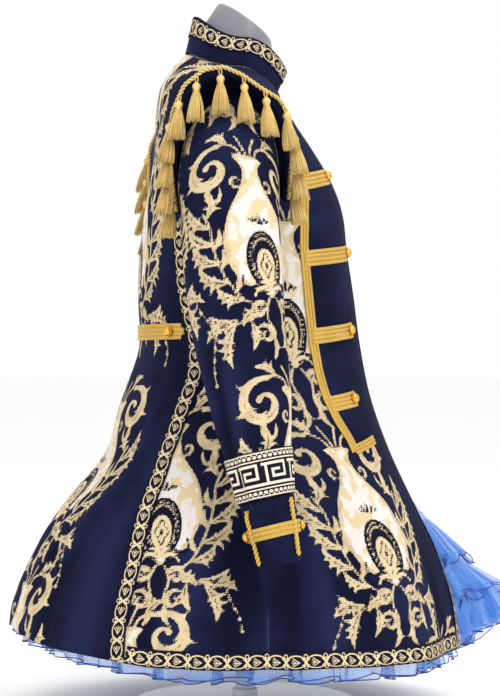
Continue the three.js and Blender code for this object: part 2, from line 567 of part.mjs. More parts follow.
function wingPoint(side, turn, share, out) {
  const [root, edge] = [wingRoot(side, turn), wingEdge(side, turn)];
  const [c, s] = turned(turn);
  const radial = new THREE.Vector3(0.25, c, s).normalize();
  const arch = WING.arch * 4 * share * (1 - share) * wingHeight(turn);
  const point = root.lerp(edge, share).addScaledVector(radial, arch + out);
  point.x *= side;
  return point;
}
function addWings() {
  for (const side of [RIGHT, LEFT]) {
    const turns = steps(WING.from, WING.to, WING.columns);
    const grid = (out) => steps(0, 1, 2).map((k) => turns.map((t) => wingPoint(side, t, k, out)));
    piece(`shoulder_wing_${sideName(side)}`, wall(grid(WING.thick / 2), grid(-WING.thick / 2)), NAVY);
  }
}

// Gold cord along each wing's edge, with tassels hanging from it
const TASSELS = 13;
const TASSEL = { loop: 10, headR: 5.2, skirt: 38, strands: 5, rootR: 1.9, spread: 9, lean: 5, clear: 7.5 };
function cordPoint(side, turn) {
  const edge = wingPoint(side, turn, 1, 0);
  const radial = new THREE.Vector3(side * 0.75, Math.cos(turn * degrees) * 0.6, Math.sin(turn * degrees) * 0.45).normalize();
  return edge.addScaledVector(radial, CORD_R + 1.4);
}
// A square ring of points across a line, for a strand's ends
function sectionRing(centre, along, r, sides) {
  const across = new THREE.Vector3(0.3, 1, 0).cross(along).normalize();
  const third = along.clone().cross(across);
  return range(sides).map((j) => {
    const a = (2 * Math.PI * j) / sides;
    return centre.clone().addScaledVector(across, r * Math.cos(a)).addScaledVector(third, r * Math.sin(a));
  });
}
function tassel(side, turn) {
  // Down the front and back of the armhole the cord hangs too, so the tassels there stand off it sideways.
  const steep = Math.abs(Math.cos(turn * degrees));
  const outward = new THREE.Vector3(side, Math.cos(turn * degrees) * 0.45, 0).normalize();
  const beside = new THREE.Vector3(-outward.y, outward.x, 0);
  const hang = new THREE.Vector3(0, 0, -1).addScaledVector(outward, 0.1 + 0.12 * steep).normalize();
  const cord = cordPoint(side, turn);
  const top = cord.clone().addScaledVector(outward, TASSEL.clear * steep ** 2);
  const down = (mm) => (mm === 0 ? cord.clone() : top.clone().addScaledVector(hang, mm));
  const r = TASSEL.headR;
  const head = [
    { at: 0, r: 1.6 },
    { at: TASSEL.loop, r: 1.6 },
    { at: TASSEL.loop + r * 0.7, r },
    { at: TASSEL.loop + r * 2, r: r * 0.75 },
  ];
  const parts = [solid(loft(head.map((h) => sectionRing(down(h.at), hang, h.r, 5))))];
  for (const k of range(TASSEL.strands)) {
    const a = (2 * Math.PI * (k + 0.5)) / TASSEL.strands;
    const ring = (mm, out, flat) =>
      down(mm).addScaledVector(beside, out * Math.cos(a)).addScaledVector(outward, out * flat * Math.sin(a));
    const [root, end] = [ring(TASSEL.loop + r * 2 - 0.8, TASSEL.rootR, 1), ring(TASSEL.loop + r * 2 + TASSEL.skirt, TASSEL.spread, 0.8)];
    end.addScaledVector(outward, TASSEL.lean);
    const along = end.clone().sub(root).normalize();
    parts.push(solid(loft([sectionRing(root, along, 0.8, 3), sectionRing(end, along, 1.9, 3)])));
  }
  return parts;
}
function addFringe() {
  for (const side of [RIGHT, LEFT]) {
    const turns = steps(WING.from + 2, WING.to - 2, 26);
    const rings = turns.map((t, i) => {
      const centre = cordPoint(side, t);
      const [a, b] = [cordPoint(side, turns[Math.max(0, i - 1)]), cordPoint(side, turns[Math.min(26, i + 1)])];
      const along = b.sub(a).normalize();
      const across = new THREE.Vector3(1, 0, 0).cross(along).normalize();
      const third = along.cross(across);
      return range(5).map((j) => {
        const q = (2 * Math.PI * j) / 5;
        return centre.clone().addScaledVector(across, CORD_R * Math.cos(q)).addScaledVector(third, CORD_R * Math.sin(q));
      });
    });
    const all = spacedTurns(side).flatMap((t) => tassel(side, t)).reduce((made, part) => made.add(part), solid(loft(rings)));
    piece(`tassel_fringe_${sideName(side)}`, geometryOf(all), GOLD_THREAD);
  }
}
// Turns of the wing at which the tassels hang, evenly spaced along the cord
function spacedTurns(side) {
  const fine = steps(WING.from + 6, WING.to - 6, 200);
  const lengths = [0];
  for (let i = 1; i < fine.length; i++)
    lengths.push(lengths[i - 1] + cordPoint(side, fine[i]).distanceTo(cordPoint(side, fine[i - 1])));
  return range(TASSELS).map((k) => {
    const want = (lengths[lengths.length - 1] * (k + 0.5)) / TASSELS;
    return fine[lengths.findIndex((l) => l >= want)];
  });
}

// Tulle underskirt: a plain yoke from the waist and two ruffles, inside the jacket but for the front opening, where
// it pushes out. forward is how far, at each ring.
const YOKE_ROWS = [5.4, 4.5, 3.5, 2.75];
const YOKE_INSET = [{ at: 2.75, value: 6 }, { at: 3.5, value: 8 }, { at: 4.5, value: 7 }, { at: 5.4, value: 0.4 }];
const FORWARD = [
  { at: -0.3, value: 82 },
  { at: 0.9, value: 74 },
  { at: 1.35, value: 58 },
  { at: 1.8, value: 40 },
  { at: 2.6, value: 20 },
  { at: 3.2, value: 12 },
  { at: 3.6, value: 0 },
];
const FRONT_HEM_LIFT = 44;
const openHalf = (ring) => 0.8 * Math.max(frontEdge(Math.max(0, ring)), 1.6);
function tullePoint(angle, ring, inset) {
  const at = Math.max(0, ring);
  const base = bodyPoint(angle, at);
  if (ring < 0) base.add(bodyPoint(angle, 0).sub(bodyPoint(angle, 0.2)).multiplyScalar(-ring / 0.2));
  const folded = Math.abs(angle > 180 ? angle - 360 : angle);
  const inFront = 1 - smoothstep(0, 1, folded / openHalf(ring));
  const out = new THREE.Vector3(Math.sin(angle * degrees), -Math.cos(angle * degrees), 0);
  base.addScaledVector(out, fromTable(FORWARD, ring) * inFront - CLOTH - inset);
  base.z += FRONT_HEM_LIFT * inFront * (1 - smoothstep(-0.4, 1.8, ring));
  return base;
}
// Angle of a ruffle's column: share 0 is the centre front, and the first waves on each side fill the opening.
const OPENING_SHARE = 0.07;
function tulleAngle(share, ring) {
  const [turned, edge] = [Math.min(share, 1 - share), openHalf(ring)];
  const a = turned < OPENING_SHARE
    ? (edge * turned) / OPENING_SHARE
    : edge + ((180 - edge) * (turned - OPENING_SHARE)) / (0.5 - OPENING_SHARE);
  return share <= 0.5 ? a : 360 - a;
}
// A ruffle is gathered flat against the yoke at its top, and its waves are deepest at its hem.
function ruffle({ top, hem, waves }) {
  const columns = waves * 4;
  const grid = (out) =>
    [top, hem].map((row) =>
      range(columns).map((j) => {
        const uneven = 1 + 0.25 * Math.sin(j * 0.7);
        const wave = (row.wave * uneven * (1 - Math.cos((Math.PI * j) / 2))) / 2;
        return tullePoint(tulleAngle(j / columns, row.ring), row.ring, row.inset + wave + out);
      }),
    );
  return wall(grid(0), grid(TULLE), true);
}
const RUFFLE = { waves: 30, top: { ring: 2.77, inset: 4.2, wave: 0 }, hem: { ring: -0.2, inset: 4.5, wave: 11 } };
const UNDER_RUFFLE = { waves: 26, top: { ring: 2.77, inset: 12.1, wave: 0 }, hem: { ring: -0.32, inset: 21, wave: 10 } };
function addTulle() {
  const around = (r) => {
    const half = [0, 0.75 * openHalf(r), openHalf(r), ...panelAngles(r).filter((a, i) => i % 2 === 0 && i > 0 && a < 179)];
    return [...half, 180, ...half.slice(1).reverse().map((a) => 360 - a)];
  };
  const plain = (out) => YOKE_ROWS.map((r) => around(r).map((a) => tullePoint(a, r, fromTable(YOKE_INSET, r) + out)));
  piece("tulle_yoke", wall(plain(0), plain(TULLE), true), BLUE_TULLE);
  piece("tulle_ruffle", ruffle(RUFFLE), BLUE_TULLE);
  piece("tulle_under_ruffle", ruffle(UNDER_RUFFLE), BLUE_TULLE);
}

// Dress form: a torso that fills the jacket's shoulders, a neck cut off square to its lean, and a low stand.
// inset is from the jacket's outer surface, so it includes the cloth.
const FORM_INSET = [
  { at: 4.0, value: 52 },
  { at: 4.8, value: 44 },
  { at: 5.6, value: 38 },
  { at: 6.4, value: 34 },
  { at: 7, value: 30 },
  { at: 8, value: 20 },
  { at: 9, value: 14 },
  { at: 10, value: 9 },
  { at: 11, value: 5 },
  { at: 12, value: 3.4 },
  { at: 13.2, value: 2.6 },
  { at: 14, value: 2.6 },
  { at: NECKLINE, value: 3.2 },
];
const FORM_ROWS = [4.15, 4.7, 5.4, 6.3, 7.4, 8.7, 10, 11, 12, 12.8, 14, 14.55, NECKLINE - 0.06];
const NECK_IN_COLLAR = [{ up: 0.12, inset: 4.5 }, { up: 0.6, inset: 9 }];
const NECK_CAP = { frontY: -35, frontZ: 885, backY: 36, backZ: 936, sideX: 48, sideY: 1, sideZ: 910 };
function addForm() {
  const columns = (r) => {
    const half = panelAngles(r).filter((a, i) => i % 2 === 0);
    return [0, ...half.slice(1, -1), 180, ...half.slice(1, -1).reverse().map((a) => 360 - a)];
  };
  const torso = FORM_ROWS.map((r) =>
    columns(Math.max(4.15, r)).map((a) => bodyPoint(a, r, 0).addScaledVector(bodyNormal(a, r), -fromTable(FORM_INSET, r))),
  );
  const neck = NECK_IN_COLLAR.map((n) => columns(NECKLINE).map((a) => collarPoint(a, n.up, -COLLAR_THICK - n.inset)));
  const cap = columns(NECKLINE).map((a) => {
    const [c, s] = [Math.cos(a * degrees), Math.sin(a * degrees)];
    const [endY, endZ] = c > 0 ? [NECK_CAP.frontY, NECK_CAP.frontZ] : [NECK_CAP.backY, NECK_CAP.backZ];
    return new THREE.Vector3(
      NECK_CAP.sideX * s,
      NECK_CAP.sideY + (endY - NECK_CAP.sideY) * Math.abs(c),
      NECK_CAP.sideZ + (endZ - NECK_CAP.sideZ) * Math.abs(c),
    );
  });
  const lowest = torso[0].reduce((low, p) => Math.min(low, p.z), Infinity);
  const foot = columns(4.15).map((a) => new THREE.Vector3(90 * Math.sin(a * degrees), -90 * Math.cos(a * degrees), lowest - 14));
  piece("dress_form", loft([foot, ...torso, ...neck, cap]), FORM_GREY);
  return lowest - 14;
}
const STAND = { baseR: 150, baseHigh: 12, postR: 12.5 };
function addStand(formFoot) {
  const post = new THREE.CylinderGeometry(STAND.postR, STAND.postR, formFoot - 0.3 - STAND.baseHigh - 0.3, 20);
  const middle = (formFoot - 0.3 + STAND.baseHigh + 0.3) / 2;
  piece("stand_post", post.rotateX(Math.PI / 2).translate(0, 0, middle), STAND_WHITE);
  const [r, h] = [STAND.baseR, STAND.baseHigh];
  const profile = [[0, 0], [r, 0], [r, h * 0.6], [r - 5, h], [0, h]].map(([x, y]) => new THREE.Vector2(x, y));
  piece("stand_base", new THREE.LatheGeometry(profile, 24).rotateX(Math.PI / 2), STAND_WHITE);
}

addPanels();
addSleeves();
addTrims();
addBib();
addButtonsAndBelt();
addCuffBraid();
addCollar();
addWings();
addFringe();
addTulle();
addStand(addForm());

export default jacket;
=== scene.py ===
"""A flared carnival jacket of scroll-patterned velvet with tassels, braid and tulle, on its dress form."""

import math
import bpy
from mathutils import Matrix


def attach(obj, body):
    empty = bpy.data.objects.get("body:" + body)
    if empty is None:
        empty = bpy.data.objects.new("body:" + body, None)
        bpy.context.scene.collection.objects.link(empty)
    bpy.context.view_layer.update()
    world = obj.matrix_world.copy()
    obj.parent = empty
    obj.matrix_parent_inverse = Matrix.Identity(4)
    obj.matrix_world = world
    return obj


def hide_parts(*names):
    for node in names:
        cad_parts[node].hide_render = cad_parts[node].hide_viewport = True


bl_info = {
    "name": "Carnival jacket",
    "version": (1, 0, 0),
    "blender": (4, 5, 0),
    "location": "3D View > Sidebar > Jacket",
    "description": "Makes a patterned velvet carnival jacket with its trims, on a dress form",
    "category": "Add Mesh",
}

import bpy
import numpy as np
from mathutils import Matrix, Vector
from mathutils.bvhtree import BVHTree

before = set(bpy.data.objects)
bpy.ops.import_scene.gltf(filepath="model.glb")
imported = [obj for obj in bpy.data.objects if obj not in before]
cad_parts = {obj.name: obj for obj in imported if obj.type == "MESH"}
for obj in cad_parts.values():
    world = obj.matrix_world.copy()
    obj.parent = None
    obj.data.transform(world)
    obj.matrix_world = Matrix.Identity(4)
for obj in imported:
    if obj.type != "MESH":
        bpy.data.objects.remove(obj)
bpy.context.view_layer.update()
MM = 0.001
SIDES = {"right": -1, "left": 1}

# The jacket's outer surface in mm, from the hem up
RING_COLUMNS = ("front_y", "front_z", "back_y", "back_z", "side_x", "side_y", "side_z")
BODY_RINGS = np.array(
    [
        (-276, 90, 306, 122, 285, 16, 98),
        (-267, 150, 299, 160, 264, 14, 152),
        (-246, 215, 270, 225, 238, 11, 215),
        (-219, 275, 236, 278, 216, 8, 276),
        (-188, 345, 188, 338, 193, 4, 342),
        (-164, 415, 164, 412, 172, 1, 414),
        (-150, 485, 141, 480, 156, -3, 483),
        (-142, 545, 142, 545, 157, 0, 545),
        (-133, 605, 140, 605, 165, 3, 605),
        (-127, 655, 135, 655, 171, 5, 655),
        (-113, 695, 126, 700, 176, 10, 698),
        (-89, 733, 120, 748, 181, 16, 741),
        (-66, 763, 118, 790, 183, 22, 779),
        (-52, 787, 113, 822, 170, 26, 806),
        (-46, 804, 98, 848, 118, 24, 827),
        (-42, 817, 80, 868, 64, 18, 845),
    ],
    float,
)
NECKLINE = 15
BOXY = 0.045
# Waves of the skirt: height in mm at the hem, the ring where they end, then share, waves round and start of each
WAVE_AT_HEM = 6
WAVES_END = 5.5
SKIRT_WAVES = ((0.55, 7, 0.6), (0.45, 11, 2.1))

# The sleeve's outer surface: inner x, inner z, outer x, outer z, middle y, half y, lean
SLEEVE_RINGS = np.array(
    [
        (136, 634, 140, 790, 33, 57, 0),
        (164, 629, 198, 783, 35, 60, 0),
        (172, 621, 230, 757, 37, 62, 0),
        (179, 609, 254, 716, 38, 62, 0),
        (185, 594, 269, 666, 37, 61.5, 0),
        (190, 572, 279, 610, 35, 60.6, 1),
        (198, 538, 286, 560, 33, 58.8, 3),
        (207, 486, 293, 498, 27.4, 55.5, 6),
        (214, 437, 298, 449, 18.6, 51.4, 8),
        (221, 393, 303, 405, 12.5, 46.4, 9),
        (228, 348, 307, 360, 7, 40.4, 11),
        (237, 294, 311, 304, -2.8, 33, 12.5),
        (243, 261, 313, 270, -9.8, 29.7, 13),
        (247, 229, 316, 238, -15.7, 27, 14),
        (248, 217, 318, 226, -18, 26.5, 15),
    ],
    float,
)
LEFT_BACK = 12
KEY_BAND_TOP, CUFF_SEAM, CUFF_EDGE = 10, 11, 14

# Seams and edges as ring: degrees from the centre front
SIDE_SEAM = ((0, 86), (9, 86), (10.15, 90), (10.8, 97), (15, 97))
BACK_SEAM = (
    (0, 122.3), (2, 122.3), (3.3, 124.3), (4.1, 125.6), (4.7, 122.6), (5.4, 119), (6.05, 121),
    (6.8, 124.9), (7.4, 127), (8.7, 131), (9.4, 124), (10.15, 112), (10.8, 97), (15, 97),
)
BIB_EDGE = (
    (4.1, 49.2), (4.3, 50.2), (4.65, 54.3), (5.1, 58.2), (5.54, 60.5), (6.1, 62), (8, 62.8),
    (8.8, 61.8), (9.8, 58),
)

# Soft folds of the velvet: from angle, from ring, to angle, to ring, half width in mm, height in mm
BODY_FOLDS = (
    (-86, 4.6, -86.5, -0.3, 5, 2.6), (-80, 4.0, -80, -0.3, 11, -3.2), (-93, 3.8, -95, -0.3, 12, -2.4),
    (-74, 3.9, -70, -0.3, 13, 3.2), (-62, 3.5, -60, -0.3, 15, -3.0), (-46, 3.1, -44, -0.3, 17, 2.6),
    (-30, 2.6, -27, -0.3, 14, -2.4), (-104, 5.0, -107, -0.3, 13, 3.2), (-116, 3.0, -115, -0.3, 9, -2.2),
    (-131, 5.7, -151, 2.2, 11, 4.2), (-136, 5.1, -162, 0.6, 14, -4.4), (-128, 4.3, -134, -0.3, 15, 3.8),
    (-142, 3.0, -146, -0.3, 14, -3.6), (-158, 2.6, -160, -0.3, 13, 3.0), (-127, 3.5, -150, 3.3, 3.5, 1.4),
    (-170, 5.4, -172, -0.3, 14, 3.0), (180, 5.2, 178, -0.3, 12, -3.6), (168, 5.0, 164, -0.3, 15, 3.4),
    (152, 5.5, 150, -0.3, 16, -4.2), (137, 5.2, 134, -0.3, 14, 3.8), (128, 4.2, 128, -0.3, 10, -2.0),
    (112, 4.9, 110, -0.3, 12, 3.2), (98, 4.0, 99, -0.3, 13, -2.8), (86, 4.4, 86, -0.3, 5, 2.4),
    (78, 3.9, 76, -0.3, 13, -3.2), (66, 3.4, 65, -0.3, 14, 3.2), (50, 3.0, 52, -0.3, 16, -3.0),
    (34, 2.7, 30, -0.3, 15, 2.6), (-84, 6.3, -64, 6.0, 6, -1.6), (-82, 6.9, -66, 6.8, 7, -1.2),
    (-20, 6.5, -52, 6.0, 7, -1.4), (-14, 7.1, -44, 7.0, 9, 1.2), (-24, 9.0, -56, 8.6, 12, 1.5),
    (22, 6.4, 54, 6.1, 7, -1.5), (16, 7.2, 46, 6.8, 9, 1.2), (64, 6.2, 84, 6.0, 7, -1.6),
    (-160, 6.9, -130, 6.6, 6, -1.5), (-148, 7.7, -126, 7.2, 9, 1.4), (164, 6.8, 130, 6.6, 7, -1.5),
    (-150, 9.9, -134, 9.0, 10, -1.8), (154, 9.7, 134, 8.9, 11, -1.9), (176, 10.6, 178, 8.4, 14, -1.6),
)
FOLD_DEPTH = 1.3
# Scale of the body's surface, as ring: mm to a degree, and as ring: mm to a ring
BODY_DEGREE = ((0, 4.95), (2, 4.25), (4, 3.4), (6.2, 2.68), (10, 2.75), (13, 2.5), (15, 1.25))
BODY_RING = ((0, 62), (5, 70), (8, 55), (11, 42), (15, 25))
# Folds of a sleeve, where 0 degrees faces away from the body and 90 faces back
SLEEVE_FOLDS = (
    (46, 6.2, 58, 11.2, 9, -3.0), (26, 6.8, 34, 11.2, 9, 2.6), (70, 5.4, 82, 9.4, 10, 2.2),
    (-70, 6.4, -30, 6.9, 6, -1.8), (-72, 7.3, -36, 7.6, 7, -2.0), (-66, 5.6, -40, 5.9, 7, -1.4),
    (4, 7.2, -8, 10.4, 13, -1.6), (150, 5.6, 185, 6.2, 8, -2.2), (140, 7.0, 180, 7.2, 8, -2.0),
    (100, 2.6, 76, 4.8, 10, -2.2), (-96, 2.8, -74, 5.0, 10, -2.0), (200, 4.6, 230, 5.2, 8, -1.6),
)
SLEEVE_DEGREE, SLEEVE_RING = 0.86, 50.0

# Sizes of sewn-on pieces, in mm. LIFT is their height over the velvet
LIFT = 0.95
BRAID_THICK = 1.6
COLLAR_TOP = dict(front_y=-55, front_z=846, back_y=68, back_z=919, side_x=61, side_y=6, side_z=884)
COLLAR_THICK = 2.4
# Bars of the bib's braid: ring at its outer end, ring and angle at its inner end
BIB_BARS = ((9.78, 10.08, 34.5), (7.78, 7.97, 25), (6.17, 6.3, 33.5), (4.92, 5.01, 42))
BIB_FOOT = (4.12, 4.26, 34)
BAR_WIDE, BAR_ROWS, UPRIGHT_ROWS = 21, 4, 3
# Height of a domed button, in metres
BUTTON_HIGH = 0.0065
# The plain cloth inside the bib: its highest ring, and the angle to which the shoulder over it is plain
BIB_TOP = 9.9
SHOULDER_EDGE = 88
BELT = dict(ring=6.3, tip=127.4, shoulder=130, button=136, wide=21)
STRAP = dict(ring=12.1, end=90, button_in=3, wide=16)
# Twisted uprights on a cuff: angle, ring at the top, ring at the bottom
UPRIGHTS = ((62, 11.2, 13.3), (-46, 11.1, 13.3))
WING = dict(start=-30, end=208, thick=2.4, arch=5)
WING_ROOT = dict(middle_y=33, middle_z=712, half_y=66, half_z=92)
# The wing's outer edge: turn, x, y, z
WING_EDGE = np.array(
    [
        (-30, 184, 98, 645), (0, 197, 106, 705), (25, 205, 105, 765), (50, 214, 91, 798),
        (70, 219, 68, 815.5), (90, 221, 46, 819.5), (110, 220, 24, 810.5), (130, 216, 0, 794.5),
        (150, 211, -22, 783), (165, 205, -35, 763), (185, 197, -38, 715), (208, 186, -35, 660),
    ],
    float,
)
CORD_R = 2.6
# Twists of two strands: mm to a turn, distance from the middle and radius of a strand
TWIST = 11
CORD_TWIST = dict(sway=1.5, strand=1.4)
CUFF_TWIST = dict(sway=1.6, lift=1.2, strand=1.7)
TASSELS = 13
TASSEL = dict(loop=10, head=5.2, skirt=38, spread=10.9, lean=5, clear=7.5)
# A tassel's head below its loop, and its core below its neck: mm down, radius
HEAD_PROFILE = ((-1.2, 0.8), (-0.2, 2.3), (1.2, 3.9), (3.2, 5.0), (5.2, 5.2), (7.2, 4.5), (8.6, 3.5), (9.6, 3.3))
CORE_PROFILE = ((-1.5, 3.2), (6, 4.6), (20, 6.4), (34, 7.8))
THREAD_RADII = (0.5, 0.62, 0.66, 0.62, 0.42)
GOLDEN_TURN = 0.381966
# Tulle: how far it comes forward in the opening at a ring, and how deep the yoke and the form lie at a ring
FORWARD = ((-0.3, 82), (0.9, 74), (1.35, 58), (1.8, 40), (2.6, 20), (3.2, 12), (3.6, 0))
FRONT_HEM_LIFT = 44
OPENING_SHARE = 0.07
YOKE_INSET = ((2.75, 6), (3.5, 8), (4.5, 7), (5.4, 0.4))
FORM_INSET = (
    (4.0, 52), (4.8, 44), (5.6, 38), (6.4, 34), (7, 30), (8, 20), (9, 14), (10, 9), (11, 5),
    (12, 3.4), (13.2, 2.6), (14, 2.6), (15, 3.2),
)
FORM_FOOT = dict(radius=90, high=14)
# The form's neck inside the collar: share of the collar's height, mm inside it
FORM_NECK = ((0.12, 4.5), (0.3, 6.5), (0.6, 9))
NECK_CAP = dict(front_y=-35, front_z=885, back_y=36, back_z=936, side_x=48, side_y=1, side_z=910)
# Cut sizes of a sleeve: girth and length in mm
SLEEVE_GIRTH, SLEEVE_LENGTH = 372, 590
# Stand in metres
POST = dict(radius=0.0125, foot=0.0123, soft=0.0008)
SOCKET = dict(radius=0.017, low=0.0133, high=0.0293, soft=0.0025)
BASE = dict(radius=0.15, high=0.012, soft=0.004)
# The camera looks level from 5 degrees behind the jacket's right side, in metres and mm of lens
CAMERA = dict(turn=265, away=2.6, lens=101.1, sensor=36, target=(0, -0.00665, 0.48))
# Lamps: name, place, size, power in watts
LAMPS = (
    ("key", (-2.2, -1.4, 2.2), 1.6, 42),
    ("fill", (-1.6, 2.0, 1.2), 1.8, 14),
    ("top", (0.4, -0.2, 2.8), 2.0, 18),
)
# A value for places outside every shape of the woven pattern, in mm
OUTSIDE = -20.0


# Curves and surfaces, worked out on whole arrays, in mm


def smoothstep(low, high, value):
    k = np.clip((np.asarray(value, float) - low) / (high - low), 0, 1)
    return k * k * (3 - 2 * k)


def looked_up(table, at):
    """A value from a table of pairs, straight between its rows."""
    columns = np.array(table, float).T
    return np.interp(at, columns[0], columns[1])


def between(rows, at):
    """A row of the table at a fractional place, on a smooth curve through the rows."""
    at = np.asarray(at, float)
    low = np.clip(np.floor(at), 0, len(rows) - 2).astype(int)
    f = (at - low)[..., None]
    p, a, b, n = (rows[np.clip(low + k, 0, len(rows) - 1)] for k in (-1, 0, 1, 2))
    start, end = (b - p) / 2, (n - a) / 2
    f2, f3 = f * f, f * f * f
    return (2 * f3 - 3 * f2 + 1) * a + (f3 - 2 * f2 + f) * start + (3 * f2 - 2 * f3) * b + (f3 - f2) * end


def unit(vectors):
    return vectors / np.maximum(np.linalg.norm(vectors, axis=-1, keepdims=True), 1e-12)


def stacked(x, y, z):
    return np.stack(np.broadcast_arrays(x, y, z), axis=-1)


def turned(degrees):
    """Cosine and sine of an angle."""
    turn = np.radians(degrees)
    return np.cos(turn), np.sin(turn)


def lengths(points, axis):
    """How far along its row or column each point of a line or grid is."""
    steps = np.linalg.norm(np.diff(points, axis=axis), axis=-1)
    total = np.cumsum(steps, axis=axis)
    return np.insert(total, 0, 0.0, axis=axis)


def body_point(angle, ring, waves=1.0):
    """The jacket's outer surface: degrees from the centre front, positive to the left, and ring number."""
    angle, ring = np.broadcast_arrays(np.asarray(angle, float), np.asarray(ring, float))
    front_y, front_z, back_y, back_z, side_x, side_y, side_z = np.moveaxis(between(BODY_RINGS, ring), -1, 0)
    turn = np.radians(angle)
    c, s = np.cos(turn), np.sin(turn)
    fuller = 1 + BOXY * np.sin(2 * turn) ** 2
    end_y, end_z = np.where(c > 0, front_y, back_y), np.where(c > 0, front_z, back_z)
    wave = sum(share * np.cos(count * turn + start) for share, count, start in SKIRT_WAVES)
    push = waves * WAVE_AT_HEM * (1 - smoothstep(0, WAVES_END, ring)) * wave
    return stacked(
        side_x * s * fuller + s * push,
        side_y + (end_y - side_y) * np.abs(c) * fuller - c * push,
        side_z + (end_z - side_z) * c * c,
    )


def body_normal(angle, ring):
    at = np.clip(ring, 0.03, NECKLINE - 0.03)
    across = body_point(angle + 0.4, at) - body_point(angle - 0.4, at)
    along = body_point(angle, at + 0.02) - body_point(angle, at - 0.02)
    return unit(np.cross(across, along))


def fold_height(table, angle, ring, per_degree, per_ring):
    """How far the soft folds lift a surface, in mm."""
    angle, ring = np.broadcast_arrays(np.asarray(angle, float), np.asarray(ring, float))
    total = np.zeros(angle.shape)
    for from_angle, from_ring, to_angle, to_ring, wide, high in table:
        middle = (from_ring + to_ring) / 2
        wide_scale, high_scale = per_degree(middle), per_ring(middle)
        x = ((angle - from_angle + 180) % 360 - 180) * wide_scale
        y = (ring - from_ring) * high_scale
        run_x = ((to_angle - from_angle + 180) % 360 - 180) * wide_scale
        run_y = (to_ring - from_ring) * high_scale
        t = np.clip((x * run_x + y * run_y) / (run_x**2 + run_y**2), 0, 1)
        gap = (x - t * run_x) ** 2 + (y - t * run_y) ** 2
        total += high * (0.2 + 0.8 * smoothstep(0, 0.6, t)) * np.exp(-gap / wide**2)
    return total * FOLD_DEPTH


def body_folds(angle, ring):
    per_degree = lambda at: looked_up(BODY_DEGREE, at)
    per_ring = lambda at: looked_up(BODY_RING, at)
    return fold_height(BODY_FOLDS, angle, ring, per_degree, per_ring)


def jacket_point(angle, ring, out=0.0):
    """A point of the folded velvet, moved out."""
    angle, ring, out = np.broadcast_arrays(*(np.asarray(v, float) for v in (angle, ring, out)))
    high = (out + body_folds(angle, ring))[..., None]
    return body_point(angle, ring) + body_normal(angle, ring) * high


def sleeve_folds(side, angle, ring):
    """The left sleeve's folds lie a little round from the right one's."""
    shift = 7 if side > 0 else 0
    table = [(a + shift, b, c + shift / 2, d, w, h) for a, b, c, d, w, h in SLEEVE_FOLDS]
    return fold_height(table, angle, ring, lambda at: SLEEVE_DEGREE, lambda at: SLEEVE_RING)


def sleeve_point(side, angle, ring, out=0.0, folded=True):
    """A point of a sleeve. side is -1 on the right and 1 on the left."""
    angle, ring, out = np.broadcast_arrays(*(np.asarray(v, float) for v in (angle, ring, out)))
    if folded:
        out = out + sleeve_folds(side, angle, ring)
    row = between(SLEEVE_RINGS, ring)
    inner_x, inner_z, outer_x, outer_z, middle_y, half_y, lean = np.moveaxis(row, -1, 0)
    inner, outer = stacked(inner_x, 0, inner_z), stacked(outer_x, 0, outer_z)
    half = (outer - inner) / 2
    middle = inner + half
    middle[..., 1] = middle_y + (LEFT_BACK if side > 0 else 0)
    lean_c, lean_s = turned(lean)
    back = stacked(0, lean_c, -lean_s)
    half_x = np.linalg.norm(half, axis=-1, keepdims=True)
    away = half / half_x
    c, s = (part[..., None] for part in turned(angle))
    half_y = half_y[..., None]
    radial = unit(away * c / half_x + back * s / half_y)
    point = middle + away * half_x * c + back * half_y * s + radial * out[..., None]
    point[..., 0] *= side
    return point


def collar_point(angle, up, out=0.0):
    """A point of the collar. up is 0 at the neckline and 1 at the collar's edge."""
    foot = dict(zip(RING_COLUMNS, BODY_RINGS[NECKLINE]))
    mix = {key: foot[key] + (COLLAR_TOP[key] - foot[key]) * np.asarray(up, float) for key in foot}
    c, s = turned(angle)
    end_y = np.where(c > 0, mix["front_y"], mix["back_y"])
    end_z = np.where(c > 0, mix["front_z"], mix["back_z"])
    return stacked(
        (mix["side_x"] + out) * s,
        mix["side_y"] + (end_y - mix["side_y"]) * np.abs(c) - out * c,
        mix["side_z"] + (end_z - mix["side_z"]) * c * c,
    )


def front_edge(ring):
    """Degrees from the centre front to a front's edge: closed at the neck and parted below the waist."""
    return 0.12 + 14 * 1.08 * (1 - smoothstep(-1.2, 4.05, ring))


def mm_per_degree(angle, ring):
    return np.linalg.norm(body_point(angle + 0.5, ring) - body_point(angle - 0.5, ring), axis=-1)


def wing_root(side, turn):
    """The place on the body's surface at the armhole oval's depth and height."""
    c, s = turned(turn)
    y = WING_ROOT["middle_y"] + WING_ROOT["half_y"] * c + (LEFT_BACK if side > 0 else 0)
    z = WING_ROOT["middle_z"] + WING_ROOT["half_z"] * s
    # A first guess from the depth and height, then ever smaller steps towards them
    angle, ring = 90 + (y - 15) * 0.5, 9 + (z - 655) / 38
    for turn_count in range(24):
        p = body_point(angle, ring)
        by_angle, by_ring = body_point(angle + 0.5, ring) - p, body_point(angle, ring + 0.02) - p
        det = by_angle[..., 1] * by_ring[..., 2] - by_ring[..., 1] * by_angle[..., 2]
        miss_y, miss_z = y - p[..., 1], z - p[..., 2]
        step_a = 0.5 * (miss_y * by_ring[..., 2] - miss_z * by_ring[..., 1]) / det
        step_r = 0.02 * (miss_z * by_angle[..., 1] - miss_y * by_angle[..., 2]) / det
        most = 1 if turn_count < 12 else 0.5
        angle = angle + np.clip(step_a, -6, 6) * most
        ring = np.clip(ring + np.clip(step_r, -0.3, 0.3) * most, 7, 13.4)
    return body_point(angle, ring) + body_normal(angle, ring) * (0.8 + WING["thick"] / 2)


def wing_edge(side, turn):
    x, y, z = (np.interp(turn, WING_EDGE[:, 0], WING_EDGE[:, k]) for k in (1, 2, 3))
    return stacked(x, y + (LEFT_BACK if side > 0 else 0), z)


